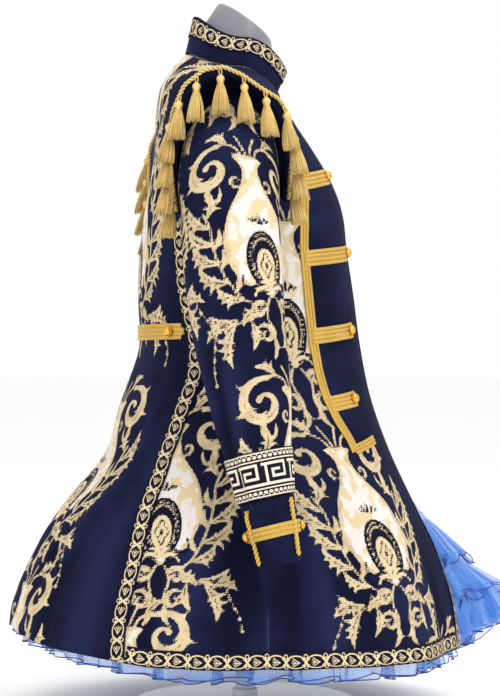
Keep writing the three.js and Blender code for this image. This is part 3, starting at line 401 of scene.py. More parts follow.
def softened(values, passes):
    """Evens out a row of points, its ends kept."""
    for _ in range(passes):
        values[1:-1] = (values[:-2] + 2 * values[1:-1] + values[2:]) / 4
    return values


def wing_rows(side, turns, shares, out):
    """A wing's points at each share of the way out, for a row of turns."""
    root, edge = softened(wing_root(side, turns), 12), softened(wing_edge(side, turns), 40)
    c, s = turned(turns)
    radial = unit(stacked(0.25, c, s))
    rows = []
    for share in shares:
        arch = WING["arch"] * 4 * share * (1 - share) * np.clip(s, 0, 1)
        row = root + (edge - root) * share + radial * (arch + out)[:, None]
        row[:, 0] *= side
        rows.append(row)
    return np.array(rows)


def cord_line(side, turns):
    """The middle of the cord, just outside a wing's edge."""
    edge = wing_rows(side, turns, [1.0], 0.0)[0]
    c, s = turned(turns)
    return edge + unit(stacked(side * 0.75, c * 0.6, s * 0.45)) * (CORD_R + 1.4)


def open_half(ring):
    """Degrees from the centre front that the tulle shows in the opening."""
    return 0.8 * np.maximum(front_edge(np.maximum(0, ring)), 1.6)


def tulle_point(angle, ring, inset):
    """A point of the underskirt, inset mm inside the velvet and further forward in the opening."""
    angle, ring, inset = np.broadcast_arrays(*(np.asarray(v, float) for v in (angle, ring, inset)))
    at = np.maximum(0, ring)
    point = body_point(angle, at)
    below = np.where(ring < 0, -ring / 0.2, 0)[..., None]
    point = point + (body_point(angle, 0 * ring) - body_point(angle, 0 * ring + 0.2)) * below
    folded = np.abs(np.where(angle > 180, angle - 360, angle))
    in_front = 1 - smoothstep(0, 1, folded / open_half(ring))
    turn = np.radians(angle)
    out = stacked(np.sin(turn), -np.cos(turn), 0)
    soft = body_folds(angle, at) * smoothstep(14, 30, folded)
    push = looked_up(FORWARD, ring) * in_front - 1.8 - inset + soft
    point = point + out * push[..., None]
    point[..., 2] += FRONT_HEM_LIFT * in_front * (1 - smoothstep(-0.4, 1.8, ring))
    return point


def tulle_angle(share, ring):
    """The angle at a share of the way round, with more of the cloth in the opening."""
    turned, edge = np.minimum(share, 1 - share), open_half(ring)
    angle = np.where(
        turned < OPENING_SHARE,
        edge * turned / OPENING_SHARE,
        edge + (180 - edge) * (turned - OPENING_SHARE) / (0.5 - OPENING_SHARE),
    )
    return np.where(share <= 0.5, angle, 360 - angle)


# Meshes


class Mesh:
    """Collects points and faces, each with its place on the cloth, and makes one object of them."""

    def __init__(self):
        self.points, self.faces, self.places, self.values = [], [], [], {}
        self.count = 0

    def add(self, points, faces, places=None, face_places=None, values=None):
        """points in mm. places has each point's place on the cloth in mm, and face_places each corner's."""
        points = np.asarray(points, float).reshape(-1, 3)
        self.points.append(points)
        self.faces += [[i + self.count for i in face] for face in faces]
        if face_places is None:
            places = np.zeros((len(points), 2)) if places is None else np.asarray(places, float)
            face_places = [places[i] for face in faces for i in face]
        self.places += list(face_places)
        for name, array in (values or {}).items():
            self.values.setdefault(name, []).append((self.count, array))
        self.count += len(points)

    def piece(self, name, material, slot, replaces=()):
        mesh = bpy.data.meshes.new(name)
        points = np.concatenate(self.points) * MM
        mesh.from_pydata(points.tolist(), [], self.faces)
        cloth = mesh.uv_layers.new(name="cloth")
        cloth.data.foreach_set("uv", (np.array(self.places) * MM).astype(np.float32).ravel())
        for key, parts in self.values.items():
            # Fold heights for the painted fold light default to 0; the pattern's layers default to OUTSIDE
            full = np.full(self.count, 0.0 if key == "nap_light" else OUTSIDE, np.float32)
            for start, array in parts:
                full[start : start + len(array)] = array
            mesh.attributes.new(key, "FLOAT", "POINT").data.foreach_set("value", full)
        mesh.update()
        mesh.shade_smooth()
        piece = bpy.data.objects.new(name, mesh)
        bpy.context.scene.collection.objects.link(piece)
        return dressed(piece, material, replaces)


def dressed(piece, material, replaces=()):
    """Gives a finished piece its material and its body."""
    piece.data.materials.clear()
    piece.data.materials.append(material)
    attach(piece, "root")
    if replaces:
        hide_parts(*replaces)
    return piece


def grid_faces(rows, columns):
    """Four-sided faces between neighbouring points of a grid."""
    i, j = np.meshgrid(np.arange(rows - 1), np.arange(columns - 1), indexing="ij")
    a = (i * columns + j).ravel()
    return np.stack([a, a + 1, a + columns + 1, a + columns], axis=1)


def shell(mesh, outer, inner, step, places, values=None, closed=False):
    """A closed wall: a fine grid outside and a grid inside that has every step-th row and column of it.
    closed joins the last column to the first, which it repeats."""
    rows, columns = outer.shape[:2]
    few_rows, few_columns = inner.shape[:2]
    fine = rows * columns
    outside = grid_faces(rows, columns)
    inside = grid_faces(few_rows, few_columns)[:, ::-1] + fine
    fine_at = lambda i, j: i * columns + j
    few_at = lambda i, j: fine + i * few_columns + j
    rims = []
    for k in range(few_columns - 1):
        fine_row = range(k * step, (k + 1) * step + 1)
        rims.append([fine_at(0, j) for j in reversed(fine_row)] + [few_at(0, k), few_at(0, k + 1)])
        last_pair = [few_at(few_rows - 1, k + 1), few_at(few_rows - 1, k)]
        rims.append([fine_at(rows - 1, j) for j in fine_row] + last_pair)
    if not closed:
        for k in range(few_rows - 1):
            fine_column = range(k * step, (k + 1) * step + 1)
            rims.append([fine_at(i, 0) for i in fine_column] + [few_at(k + 1, 0), few_at(k, 0)])
            last = [fine_at(i, columns - 1) for i in reversed(fine_column)]
            rims.append(last + [few_at(k, few_columns - 1), few_at(k + 1, few_columns - 1)])
    faces = outside.tolist() + inside.tolist() + rims
    i, j = rows // 2, columns // 2
    across, along = outer[i, j + 1] - outer[i, j], outer[i + 1, j] - outer[i, j]
    outward = outer[i, j] - inner[i // step, j // step]
    if np.dot(np.cross(across, along), outward) < 0:
        faces = [face[::-1] for face in faces]
    spots = np.concatenate([places.reshape(-1, 2), places[::step, ::step].reshape(-1, 2)])
    face_places = [spots[i] for face in faces for i in face]
    points = np.concatenate([outer.reshape(-1, 3), inner.reshape(-1, 3)])
    if closed:
        keep = np.ones(len(points), bool)
        keep[columns - 1 : fine : columns] = False
        keep[fine + few_columns - 1 :: few_columns] = False
        new = np.cumsum(keep) - 1
        new[columns - 1 : fine : columns] = new[0:fine:columns]
        new[fine + few_columns - 1 :: few_columns] = new[fine::few_columns]
        faces = [[int(new[i]) for i in face] for face in faces]
        points = points[keep]
        values = {key: array[keep[:fine]] for key, array in (values or {}).items()}
    mesh.add(points, faces, face_places=face_places, values=values)


def tube(mesh, line, radius, sides, upward=None, flat=1.0):
    """A closed tube along a line of points. radius may change along it, and flat thins it across upward."""
    line = np.asarray(line, float)
    count = len(line)
    radius = np.broadcast_to(radius, (count,)).astype(float)
    along = unit(np.gradient(line, axis=0))
    up = np.broadcast_to(np.array([0.0, 0.0, 1.0]) if upward is None else upward, line.shape)
    if upward is None and abs(along[:, 2]).mean() > 0.9:
        up = np.broadcast_to(np.array([1.0, 0.0, 0.0]), line.shape)
    across = unit(np.cross(along, up))
    third = np.cross(across, along)
    turn = 2 * np.pi * np.arange(sides) / sides
    c, s = np.cos(turn)[None, :, None], np.sin(turn)[None, :, None]
    ring = c * across[:, None] + flat * s * third[:, None]
    points = line[:, None] + ring * radius[:, None, None]
    faces = []
    for i in range(count - 1):
        for j in range(sides):
            a, b = i * sides + j, i * sides + (j + 1) % sides
            faces.append([a, b, b + sides, a + sides])
    faces.append(list(range(sides))[::-1])
    faces.append([(count - 1) * sides + j for j in range(sides)])
    spots = np.stack(np.broadcast_arrays(lengths(line, 0)[:, None], turn[None, :]), -1)
    mesh.add(points, faces, places=spots.reshape(-1, 2))


class Strip:
    """The band of a surface on either side of a line: at(s, w, h) is s mm along it, w across and h out."""

    def __init__(self, lifted, centres, spacing):
        centres = np.asarray(centres, float)
        knots = lengths(lifted(*centres.T, 0.0), 0)
        fine = np.linspace(0, knots[-1], max(3, int(knots[-1] / 2)))
        line = np.stack([np.interp(fine, knots, centres[:, k]) for k in (0, 1)], 1)
        length = lengths(lifted(*line.T, 0.0), 0)
        count = max(2, int(round(length[-1] / spacing)) + 1)
        self.s = np.linspace(0, length[-1], count)
        self.u, self.v = (np.interp(self.s, length, line[:, k]) for k in (0, 1))
        self.lifted = lifted
        p = lifted(self.u, self.v, 0.0)
        by_u = (lifted(self.u + 0.2, self.v, 0.0) - p) / 0.2
        by_v = (lifted(self.u, self.v + 0.01, 0.0) - p) / 0.01
        side = unit(np.cross(np.gradient(p, axis=0), np.cross(by_u, by_v)))
        uu, uv, vv = ((a * b).sum(-1) for a, b in ((by_u, by_u), (by_u, by_v), (by_v, by_v)))
        su, sv = (side * by_u).sum(-1), (side * by_v).sum(-1)
        det = uu * vv - uv * uv
        self.per_mm = ((su * vv - sv * uv) / det, (sv * uu - su * uv) / det)

    def at(self, w, h):
        """Points of the whole line, w across and h out, where w and h may change along it."""
        return self.lifted(self.u + w * self.per_mm[0], self.v + w * self.per_mm[1], h)

    def ribbon(self, mesh, wide, low, high, ribs=6, crown=0.0):
        """A flat band on the strip. crown lifts its middle."""
        across = np.linspace(-wide / 2, wide / 2, ribs + 1)
        rise = crown * (1 - (across / (wide / 2)) ** 2)
        outer = np.stack([self.at(w, high + r) for w, r in zip(across, rise)], 1)
        inner = np.stack([self.at(w, low + 0 * self.u) for w in across], 1)
        spots = np.stack(np.broadcast_arrays(self.s[:, None], across[None, :]), -1)
        shell(mesh, outer, inner, 1, spots)

    def plait(self, mesh, offset, base, wide, high):
        """One flat plait of three strands that cross over and under each other, wide mm across."""
        period = wide * 2.1
        sway, lift, thick = wide * 0.29, high * 0.22, wide * 0.19
        for k in range(3):
            phase = 2 * np.pi * (self.s / period + k / 3)
            w, h = sway * np.sin(phase), lift * np.sin(2 * phase)
            line = self.at(w + offset, base + h)
            up = unit(self.at(w + offset, base + h + 1) - line)
            tube(mesh, line, thick, 5, upward=up, flat=0.62)

    def plaits(self, mesh, wide, rows, low, high):
        """Rows of plaits side by side over a thin backing band."""
        each = wide / rows
        self.ribbon(mesh, wide - 0.6, low, low + (high - low) * 0.35, ribs=2)
        for k in range(rows):
            self.plait(mesh, (k + 0.5) * each - wide / 2, low + (high - low) * 0.55, each, high - low)


def rows_by_length(angle, low, high, step, multiple):
    """Ring numbers from low to high, evenly spaced along the cloth."""
    fine = np.linspace(low, high, 600)
    line = body_point(np.full_like(fine, angle), fine)
    length = lengths(line, 0)
    count = int(np.ceil(length[-1] / step / multiple)) * multiple
    return np.interp(np.linspace(0, length[-1], count + 1), length, fine)


# The woven pattern: signed distances in mm from each point of the cloth to listed shapes


def arc(x0, y0, x1, y1, bend, count=9):
    """A curve from one point to another, bent to its left by a share of its length."""
    t = np.linspace(0, 1, count)[:, None]
    start, end = np.array([x0, y0], float), np.array([x1, y1], float)
    run = end - start
    middle = (start + end) / 2 + bend * np.array([-run[1], run[0]]) * 2
    return (1 - t) ** 2 * start + 2 * t * (1 - t) * middle + t * t * end


def through(points, count=24):
    """A smooth curve through points."""
    points = np.array(points, float)
    return between(points, np.linspace(0, len(points) - 1, count))


LAYERS = ("figure", "field", "line", "bead", "detail")
# Shapes of strokes, as share of the way along: share of the stroke's width
LEAF_SHAPE = ((0, 0.3), (0.25, 0.85), (0.55, 0.95), (0.85, 0.5), (1, 0.05))
SCROLL_SHAPE = ((0, 0.25), (0.12, 0.7), (0.35, 1), (0.6, 0.72), (0.9, 0.3), (1, 0.62))
# Shares of the width at each point of a lobe, of a scroll's inner leaf and of its outer leaf
LOBE_WIDTHS = np.array([0.6, 0.62, 0.54, 0.42, 0.26, 0.04])
INNER_WIDTHS = np.array([0.4, 0.42, 0.36, 0.26, 0.15, 0.04])
OUTER_WIDTHS = np.array([0.5, 0.5, 0.4, 0.22, 0.04])
CURL = 0.78
# Half size in mm of the square that holds one repeat
MOTIF_REACH = 132


class Weave:
    """Five layers over the ground: pale figure, white field, dark line, pale bead and dark detail."""

    def __init__(self, x, y):
        self.shape = x.shape
        self.points = np.stack([x.ravel(), y.ravel()], 1)
        self.layers = {key: np.full(len(self.points), OUTSIDE) for key in LAYERS}
        self.place(0, 0)

    def place(self, x, y, turn=0.0, size=1.0, flip=1):
        """Sets where the next shapes go. flip of -1 mirrors them."""
        self.spot, self.size, self.flip = np.array([x, y], float), size, flip
        c, s = math.cos(math.radians(turn)), math.sin(math.radians(turn))
        self.axes = np.array([[c, -s], [s, c]])

    def placed(self, path):
        return (np.asarray(path, float) * [self.flip, 1] * self.size) @ self.axes.T + self.spot

    def near(self, low, high):
        """Numbers of the points inside a box."""
        inside = (self.points > low) & (self.points < high)
        return np.flatnonzero(inside[:, 0] & inside[:, 1])

    def stroke(self, layer, path, widths):
        """A line whose half width may change along it."""
        path = self.placed(path)
        widths = np.broadcast_to(widths, (len(path),)) * self.size
        reach = widths.max() + 6
        found = self.near(path.min(0) - reach, path.max(0) + reach)
        if not len(found):
            return
        q = self.points[found][:, None]
        start, run = path[:-1], np.diff(path, axis=0)
        t = np.clip(((q - start) * run).sum(-1) / np.maximum((run * run).sum(-1), 1e-9), 0, 1)
        gap = np.linalg.norm(q - start - t[..., None] * run, axis=-1)
        inside = (widths[:-1] + np.diff(widths) * t - gap).max(1)
        self.layers[layer][found] = np.maximum(self.layers[layer][found], inside)

    def local(self, reach):
        """The points within reach of the motif's middle, in its own upright frame."""
        found = self.near(self.spot - reach * self.size, self.spot + reach * self.size)
        own = (self.points[found] - self.spot) @ self.axes / self.size
        return found, own[:, 0] * self.flip, own[:, 1]

    def raise_layer(self, layer, found, inside):
        self.layers[layer][found] = np.maximum(self.layers[layer][found], inside * self.size)

    def oval(self, layer, y0, half_x, half_y, half=None, above=-99.0):
        """A filled oval about the motif's axis, or a ring of it if half gives half the ring's width."""
        found, x, y = self.local(60)
        inside = (1 - np.hypot(x / half_x, (y - y0) / half_y)) * min(half_x, half_y)
        if half is not None:
            inside = half - np.abs(inside)
        self.raise_layer(layer, found, np.minimum(inside, y - above))

    def leaf(self, x0, y0, x1, y1, bend, wide, lobes=2):
        """A curved leaf with lobes along its outer edge and a few along its inner one."""
        path = arc(x0, y0, x1, y1, bend, 11)
        t = np.linspace(0, 1, len(path))
        self.stroke("figure", path, wide * looked_up(LEAF_SHAPE, t))
        along = unit(np.gradient(path, axis=0))
        length = math.hypot(x1 - x0, y1 - y0)
        outward = 1 if bend > 0 else -1
        for k in range(lobes):
            at = 2 + 2 * k
            for way, share in ((outward, 0.44 - 0.09 * k), (-outward, 0.26 - 0.05 * k)):
                c, s = math.cos(0.9 * way), math.sin(0.9 * way)
                run_x, run_y = along[at]
                run = np.array([run_x * c - run_y * s, run_x * s + run_y * c])
                tip = path[at] + run * length * share
                lobe = arc(*path[at], *tip, -0.2 * way, 6)
                self.stroke("figure", lobe, wide * LOBE_WIDTHS)
                if lobes > 2:
                    self.stroke("line", lobe[:-2], [0.7, 0.6, 0.4, 0.2])
        if lobes > 1:
            self.stroke("line", path[1:-2], np.interp(t[1:-2], (0.1, 0.8), (0.9, 0.3)))

    def volute(self, x, y, radius, start, sweep, thick, inner=3, outer=3):
        """A scroll with small leaves inside and outside its curve."""
        middle, way = np.array([x, y]), 1 if sweep > 0 else -1
        t = np.linspace(0, 1, 30)
        turn = np.radians(start + sweep * t)
        r = radius * (1 - CURL * t)
        path = np.stack([x + r * np.cos(turn), y + r * np.sin(turn)], 1)
        self.stroke("figure", path, thick * looked_up(SCROLL_SHAPE, t))
        groove = path + (middle - path) * (thick * 0.1 / radius)
        self.stroke("line", groove[4:20], np.interp(np.linspace(0, 1, 16), (0, 0.5, 1), (0.2, 0.6, 0.2)))
        spoke = lambda angle: np.array([np.cos(angle), np.sin(angle)])
        for at in range(7, 7 + 4 * inner, 4):
            base = middle + (r[at] - thick * 0.5) * spoke(turn[at])
            tip = middle + radius * 0.3 * spoke(turn[at] + 0.9 * way)
            self.stroke("figure", arc(*base, *tip, -0.2 * way, 6), thick * INNER_WIDTHS)
        for at in range(4, 4 + 4 * outer, 4):
            base = middle + r[at] * spoke(turn[at])
            tip = middle + radius * 1.3 * spoke(turn[at] + 0.22 * way)
            self.stroke("figure", arc(*base, *tip, 0.25 * way, 5), thick * OUTER_WIDTHS)


# The vase-shaped field: height over the medallion's middle, and half width
FIELD = (
    (-44, 0), (-38, 12), (-30, 25), (-14, 38), (6, 46), (26, 46), (46, 41), (62, 34), (74, 26),
    (86, 17), (98, 10.5), (110, 7.5), (118, 8), (124, 11.5), (129, 16),
)
# Leaves on either side of the axis: from x, from y, to x, to y, bend, half width, lobes
LEAVES = (
    (-40, -44, -68, -22, 0.18, 5.0, 3), (-52, -20, -86, 8, 0.2, 5.4, 3),
    (-60, 4, -90, 38, 0.18, 5.8, 3), (-62, 28, -92, 66, 0.18, 5.8, 3), (-65, 50, -86, 92, 0.16, 5.4, 3),
    (-66, 62, -58, 98, -0.2, 4.0, 2), (-46, -34, -40, -6, -0.15, 3.2, 1),
    (-58, -4, -53, 22, -0.15, 3.2, 1), (-63, 22, -53, 48, -0.18, 3.4, 1),
    (-24, -60, -48, -76, -0.16, 4.0, 2), (-52, -66, -86, -52, 0.2, 4.8, 3),
    (-60, -72, -99, -82, -0.16, 4.4, 3), (-58, -74, -74, -120, -0.14, 5.2, 3),
    (-36, -72, -44, -106, 0.14, 4.2, 2), (-50, 76, -60, 96, 0.16, 2.4, 0),
    (-50, 76, -42, 96, -0.16, 2.4, 0), (-50, 76, -67, 79, 0.16, 2.2, 0),
    (-24, 148, -50, 164, -0.2, 4.0, 2), (-10, -96, -20, -122, 0.16, 3.4, 1),
)
# Stems that carry them, as points
STEMS = (
    ((-10, -56), (-36, -46), (-51, -22), (-60, 6), (-63, 30), (-62, 50), (-68, 70)),
    ((-12, -60), (-34, -68), (-56, -70), (-74, -62)),
    ((-8, 130), (-14, 142), (-26, 149), (-42, 151)),
    ((-2, 128), (-5, 142), (-12, 158)),
    ((-6, -48), (-13, -66), (-8, -88), (-13, -104)),
)


def medallion(weave, x, y, turn=0.0, size=1.0):
    """One repeat of the pattern: a vase-shaped field with a beaded oval, leafy branches and scrolls."""
    weave.place(x, y, turn, size)
    found, own_x, own_y = weave.local(MOTIF_REACH)
    heights, halves = np.array(FIELD).T
    inside = (np.interp(own_y, heights, halves) - np.abs(own_x)) * 0.82
    inside = np.minimum(inside, np.minimum(own_y - heights[0], heights[-1] - own_y + 0.012 * own_x**2))
    weave.raise_layer("figure", found, inside + 2.6)
    weave.raise_layer("field", found, inside - 1.4)
    weave.oval("line", 0, 25.5, 38)
    weave.oval("bead", -1, 18, 29, 0.7, -22)
    weave.oval("bead", -6, 13.2, 21.5)
    turn_round = np.radians(np.arange(0, 361, 15))
    lobed = 1 + 0.22 * np.cos(4 * turn_round)
    ring = np.stack([7.2 * lobed * np.cos(turn_round), 13 * lobed * np.sin(turn_round) - 6], 1)
    weave.stroke("detail", ring, 1.15)
    weave.oval("detail", -6, 2.2, 4.6)
    for flip in (1, -1):
        weave.place(x, y, turn, size, flip)
        for k in range(14):
            a = math.radians(-36 + 9.5 * k)
            dot = np.array([(21.4 * math.cos(a), 33.4 * math.sin(a))] * 2) + [(0, 0), (0.1, 0.1)]
            weave.stroke("bead", dot, 1.05)
        weave.stroke("line", arc(19, -30, 33, -15, -0.5, 7), [2.4, 2.2, 2.0, 1.8, 1.5, 1.3, 1.8])
        weave.stroke("bead", arc(1, -37, 15, -27, 0.3, 5), [1.2, 2.2, 2.6, 1.8, 0.6])
        weave.stroke("bead", arc(2, -38, 24, -42, 0.3, 7), [1.6, 2.2, 2.4, 2.2, 1.8, 1.2, 1.9])
        for stem in STEMS:
            weave.stroke("figure", through(stem), 1.5)
        for leaf in LEAVES:
            weave.leaf(*leaf)
        weave.volute(-49, 121, 30, 60, 430, 6.6)
        weave.volute(-21, -60, 12, 20, 400, 2.8, 1, 0)
        weave.volute(-21, -90, 13, 150, -400, 3.0, 2, 1)
        weave.volute(-21, 100, 8.5, 300, -330, 2.2, 0, 1)
        # Dark detail on the field: a small palmette over the oval, and curls at its foot
        weave.stroke("line", arc(0, 47, 0, 61, 0, 5), [1.0, 1.7, 1.9, 1.3, 0.2])
        weave.stroke("line", arc(2, 47, 6, 58, -0.2, 5), [0.9, 1.4, 1.5, 1.0, 0.2])
        weave.stroke("line", arc(3, 46, 14, 52, 0.3, 7), 1.0)
        weave.stroke("line", arc(14, 52, 9, 54, 0.9, 5), 0.9)
        weave.stroke("line", arc(4, -37, 16, -33, -0.4, 7), 1.3)
        weave.stroke("line", arc(6, -42, 22, -40, 0.35, 7), 1.2)
        weave.stroke("line", arc(2, 132, 12, 150, -0.1, 5), 1.0)
        # A hanging twig with buds
        twig = through([(-84, -78), (-92, -96), (-101, -112), (-106, -132)], 9)
        weave.stroke("figure", twig, 0.7)
        for k in (2, 4, 6, 8):
            weave.stroke("figure", twig[k] + [(0, 0), (1.5, 1.0)], 1.9)
    return weave


# Shader maths


class Signal:
    """A socket that sums can be written with."""

    def __init__(self, maker, socket):
        self.maker, self.socket = maker, socket

    def __add__(self, other):
        return self.maker.sum("ADD", self, other)

    def __sub__(self, other):
        return self.maker.sum("SUBTRACT", self, other)

    def __rsub__(self, other):
        return self.maker.sum("SUBTRACT", other, self)

    def __mul__(self, other):
        return self.maker.sum("MULTIPLY", self, other)

    def __truediv__(self, other):
        return self.maker.sum("DIVIDE", self, other)

    def __pow__(self, other):
        return self.maker.sum("POWER", self, other)

    def __abs__(self):
        return self.maker.sum("ABSOLUTE", self)

    __radd__, __rmul__ = __add__, __mul__

    def least(self, other):
        return self.maker.sum("MINIMUM", self, other)

    def most(self, other):
        return self.maker.sum("MAXIMUM", self, other)

    def fraction(self):
        return self.maker.sum("FRACT", self)

    def wave(self):
        return self.maker.sum("SINE", self)

    def root(self):
        return self.maker.sum("SQRT", self)

    def rise(self, low, high):
        """0 below low, 1 above high, and smooth between them."""
        settings = dict(interpolation_type="SMOOTHSTEP")
        inputs = {"Value": self, "From Min": low, "From Max": high}
        node = self.maker.node("ShaderNodeMapRange", settings, inputs)
        return Signal(self.maker, node.outputs["Result"])


class Finish:
    """One material, made of a Principled shader and the nodes that feed it."""

    def __init__(self, name, **constants):
        self.material = bpy.data.materials.new(name)
        self.material.use_nodes = True
        self.nodes = self.material.node_tree.nodes
        self.links = self.material.node_tree.links
        self.shader = self.nodes["Principled BSDF"]
        for key, value in constants.items():
            self.shader.inputs[key.replace("_", " ")].default_value = value

    def node(self, kind, settings=None, inputs=None):
        made = self.nodes.new(kind)
        for key, value in (settings or {}).items():
            setattr(made, key, value)
        for key, value in (inputs or {}).items():
            if isinstance(value, Signal):
                self.links.new(value.socket, made.inputs[key])
            else:
                made.inputs[key].default_value = value
        return made

    def sum(self, operation, *values):
        made = self.node("ShaderNodeMath", dict(operation=operation), dict(enumerate(values)))
        return Signal(self, made.outputs[0])

    def feed(self, socket, signal):
        self.links.new(signal.socket, self.shader.inputs[socket])

    def attribute(self, name):
        return Signal(self, self.node("ShaderNodeAttribute", dict(attribute_name=name)).outputs["Fac"])

    def cloth(self):
        """The place on the cloth as a vector, and its two numbers in mm."""
        vector = Signal(self, self.node("ShaderNodeUVMap", dict(uv_map="cloth")).outputs["UV"])
        parts = self.node("ShaderNodeSeparateXYZ", {}, {0: vector})
        return vector, Signal(self, parts.outputs[0]) * 1000, Signal(self, parts.outputs[1]) * 1000

    def place(self):
        return Signal(self, self.node("ShaderNodeTexCoord").outputs["Object"])

    def noise(self, vector, scale, detail=2.0, roughness=0.5):
        settings = {"Vector": vector, "Scale": scale, "Detail": detail, "Roughness": roughness}
        return Signal(self, self.node("ShaderNodeTexNoise", {}, settings).outputs["Fac"])

    def squeezed(self, vector, x, y, z=1.0):
        made = self.node("ShaderNodeVectorMath", dict(operation="MULTIPLY"), {0: vector, 1: (x, y, z)})
        return Signal(self, made.outputs[0])

    def mix(self, share, first, second):
        made = self.node("ShaderNodeMix", dict(data_type="RGBA"), {0: share, 6: first, 7: second})
        return Signal(self, made.outputs[2])

    def bump(self, height, strength, distance):
        made = self.node("ShaderNodeBump", {}, {"Height": height, "Strength": strength, "Distance": distance})
        self.links.new(made.outputs["Normal"], self.shader.inputs["Normal"])


def shade(colour, factor=1.0):
    return (*(min(1.0, channel * factor) for channel in colour), 1.0)


def velvet_ground(finish, colours):
    """Navy velvet with painted light and shade: slow noise patches and the fold crests are painted in a lit copy of
    the navy, the rest in a shaded copy, with the pile's fine grain mixed in.
    """
    place = finish.place()
    # Broad patches of painted light on the nap
    nap_light = finish.noise(place, 9.0, 4.0, 0.62).rise(0.34, 0.68)
    pile = finish.noise(place, 900.0, 1.0)
    # The fold heights paint the crests lighter and the troughs darker: painted light and shade
    lit = nap_light * 0.52 + pile * 0.2 + finish.attribute("nap_light") * 0.12
    return finish.mix(lit.rise(0.0, 1.0), shade(colours.navy, 0.8), shade(colours.navy_lit)), pile


# Constants of cloth that hardly shines
MATT = {"IOR": 1.35, "Specular_IOR_Level": 0.15}


def patterned_velvet(colours, sizes):
    """Velvet with the woven pattern, whose layers are attributes in mm inside each shape."""
    f = Finish("Patterned velvet", Sheen_Weight=0.03, Sheen_Roughness=0.35, Sheen_Tint=shade(colours.nap_light), **MATT)
    vector, x, y = f.cloth()
    jag = (f.noise(vector, 760.0, 1.0) - 0.5) * 3.0 + (f.noise(vector, 260.0, 0.0) - 0.5) * 0.9
    steps = ((x * 2.6).wave() + (y * 2.2).wave()) * 0.28
    masks = {key: (f.attribute(key) + jag + steps).rise(-0.3, 0.3) for key in LAYERS}
    masks["field"] = (f.attribute("field") + jag + (f.noise(vector, 70.0, 2.0) - 0.5) * 13).rise(-0.35, 0.35)
    # The ground carries the painted light and shade of the velvet's nap and folds
    ground, pile = velvet_ground(f, colours)
    mottle = f.noise(f.squeezed(vector, 1.0, 0.6), 66.0, 2.0, 0.45)
    thread = f.noise(f.squeezed(vector, 1.0, 3.0), 420.0, 1.0)
    patches = f.noise(vector, 60.0, 2.0).rise(0.4, 0.66)
    cream = f.mix(patches, shade(colours.cream), shade(colours.cream_shade))
    white = f.mix((mottle + thread * 0.08).rise(0.53, 0.58), shade(colours.white), shade(colours.cream, 1.06))
    colour = ground
    for key, over in (
        ("figure", cream),
        ("field", white),
        ("line", shade(colours.navy, 0.7)),
        ("bead", shade(colours.cream, 1.05)),
        ("detail", shade(colours.navy, 0.7)),
    ):
        colour = f.mix(masks[key], colour, over)
    f.feed("Base Color", f.mix(thread * 0.16, colour, shade(colours.navy)))
    raised = masks["figure"].most(masks["bead"])
    f.feed("Roughness", 0.92 - raised * 0.2)
    ribs = (y * 6.6).wave() * raised
    f.bump(pile * 0.5 + ribs * 0.3 + masks["figure"] * 0.8, 0.5, 0.0006)
    return f.material


def plain_velvet(colours, sizes):
    tint = shade(colours.nap_light)
    f = Finish("Navy velvet", Sheen_Weight=0.06, Sheen_Roughness=0.35, Sheen_Tint=tint, Roughness=0.9, **MATT)
    # The ground carries the painted light and shade of the velvet's nap and folds
    ground, pile = velvet_ground(f, colours)
    f.feed("Base Color", ground)
    f.bump(pile + f.noise(f.place(), 60.0, 2.0) * 0.6, 0.45, 0.0007)
    return f.material


def chain_trim(colours, sizes):
    """Woven trim: two pale strands that part and meet round small leaves, on near-black navy."""
    f = Finish("Chain trim", Roughness=0.85, **MATT)
    vector, x, y = f.cloth()
    period = sizes.chain_period / MM
    jag = (f.noise(vector, 900.0, 1.0) - 0.5) * 0.7
    t = (x / period).fraction() - 0.5
    along, across = t * period, abs(y)
    oval = ((along / (period * 0.475)) ** 2 + (across / 7.6) ** 2).root()
    strand = 0.62 - abs(oval - 1) * 6.8
    node_along = (0.5 - abs(t)) * period
    curl = 0.5 - abs((node_along**2 + (across - 6.6) ** 2).root() - 2.1)
    cross = (0.62 - abs(across - node_along * 0.9)).least(4.2 - across)
    leaf = (0.6 - abs(across - (along + 4.6) * 0.62)).least(4.2 - abs(along + 0.6))
    leaf_two = (0.55 - abs(across - (along + 0.4) * 0.6)).least(3.0 - abs(along - 1.6))
    stalk = (0.45 - across).least(5.2 - abs(along))
    pale = strand.most(curl).most(cross).most(leaf.most(leaf_two).most(stalk)) + jag
    edge = (10.4 - across + (f.noise(vector, 500.0, 1.0) - 0.5) * 2.0).rise(-0.2, 0.2)
    pale = pale.rise(-0.18, 0.18) * edge
    threads = f.noise(f.squeezed(vector, 4.0, 1.0), 500.0, 1.0)
    yarn = f.mix(threads, shade(colours.cream, 0.9), shade(colours.cream, 1.15))
    f.feed("Base Color", f.mix(pale, shade(colours.black), yarn))
    f.bump(pale + threads * 0.4, 0.6, 0.0007)
    return f.material


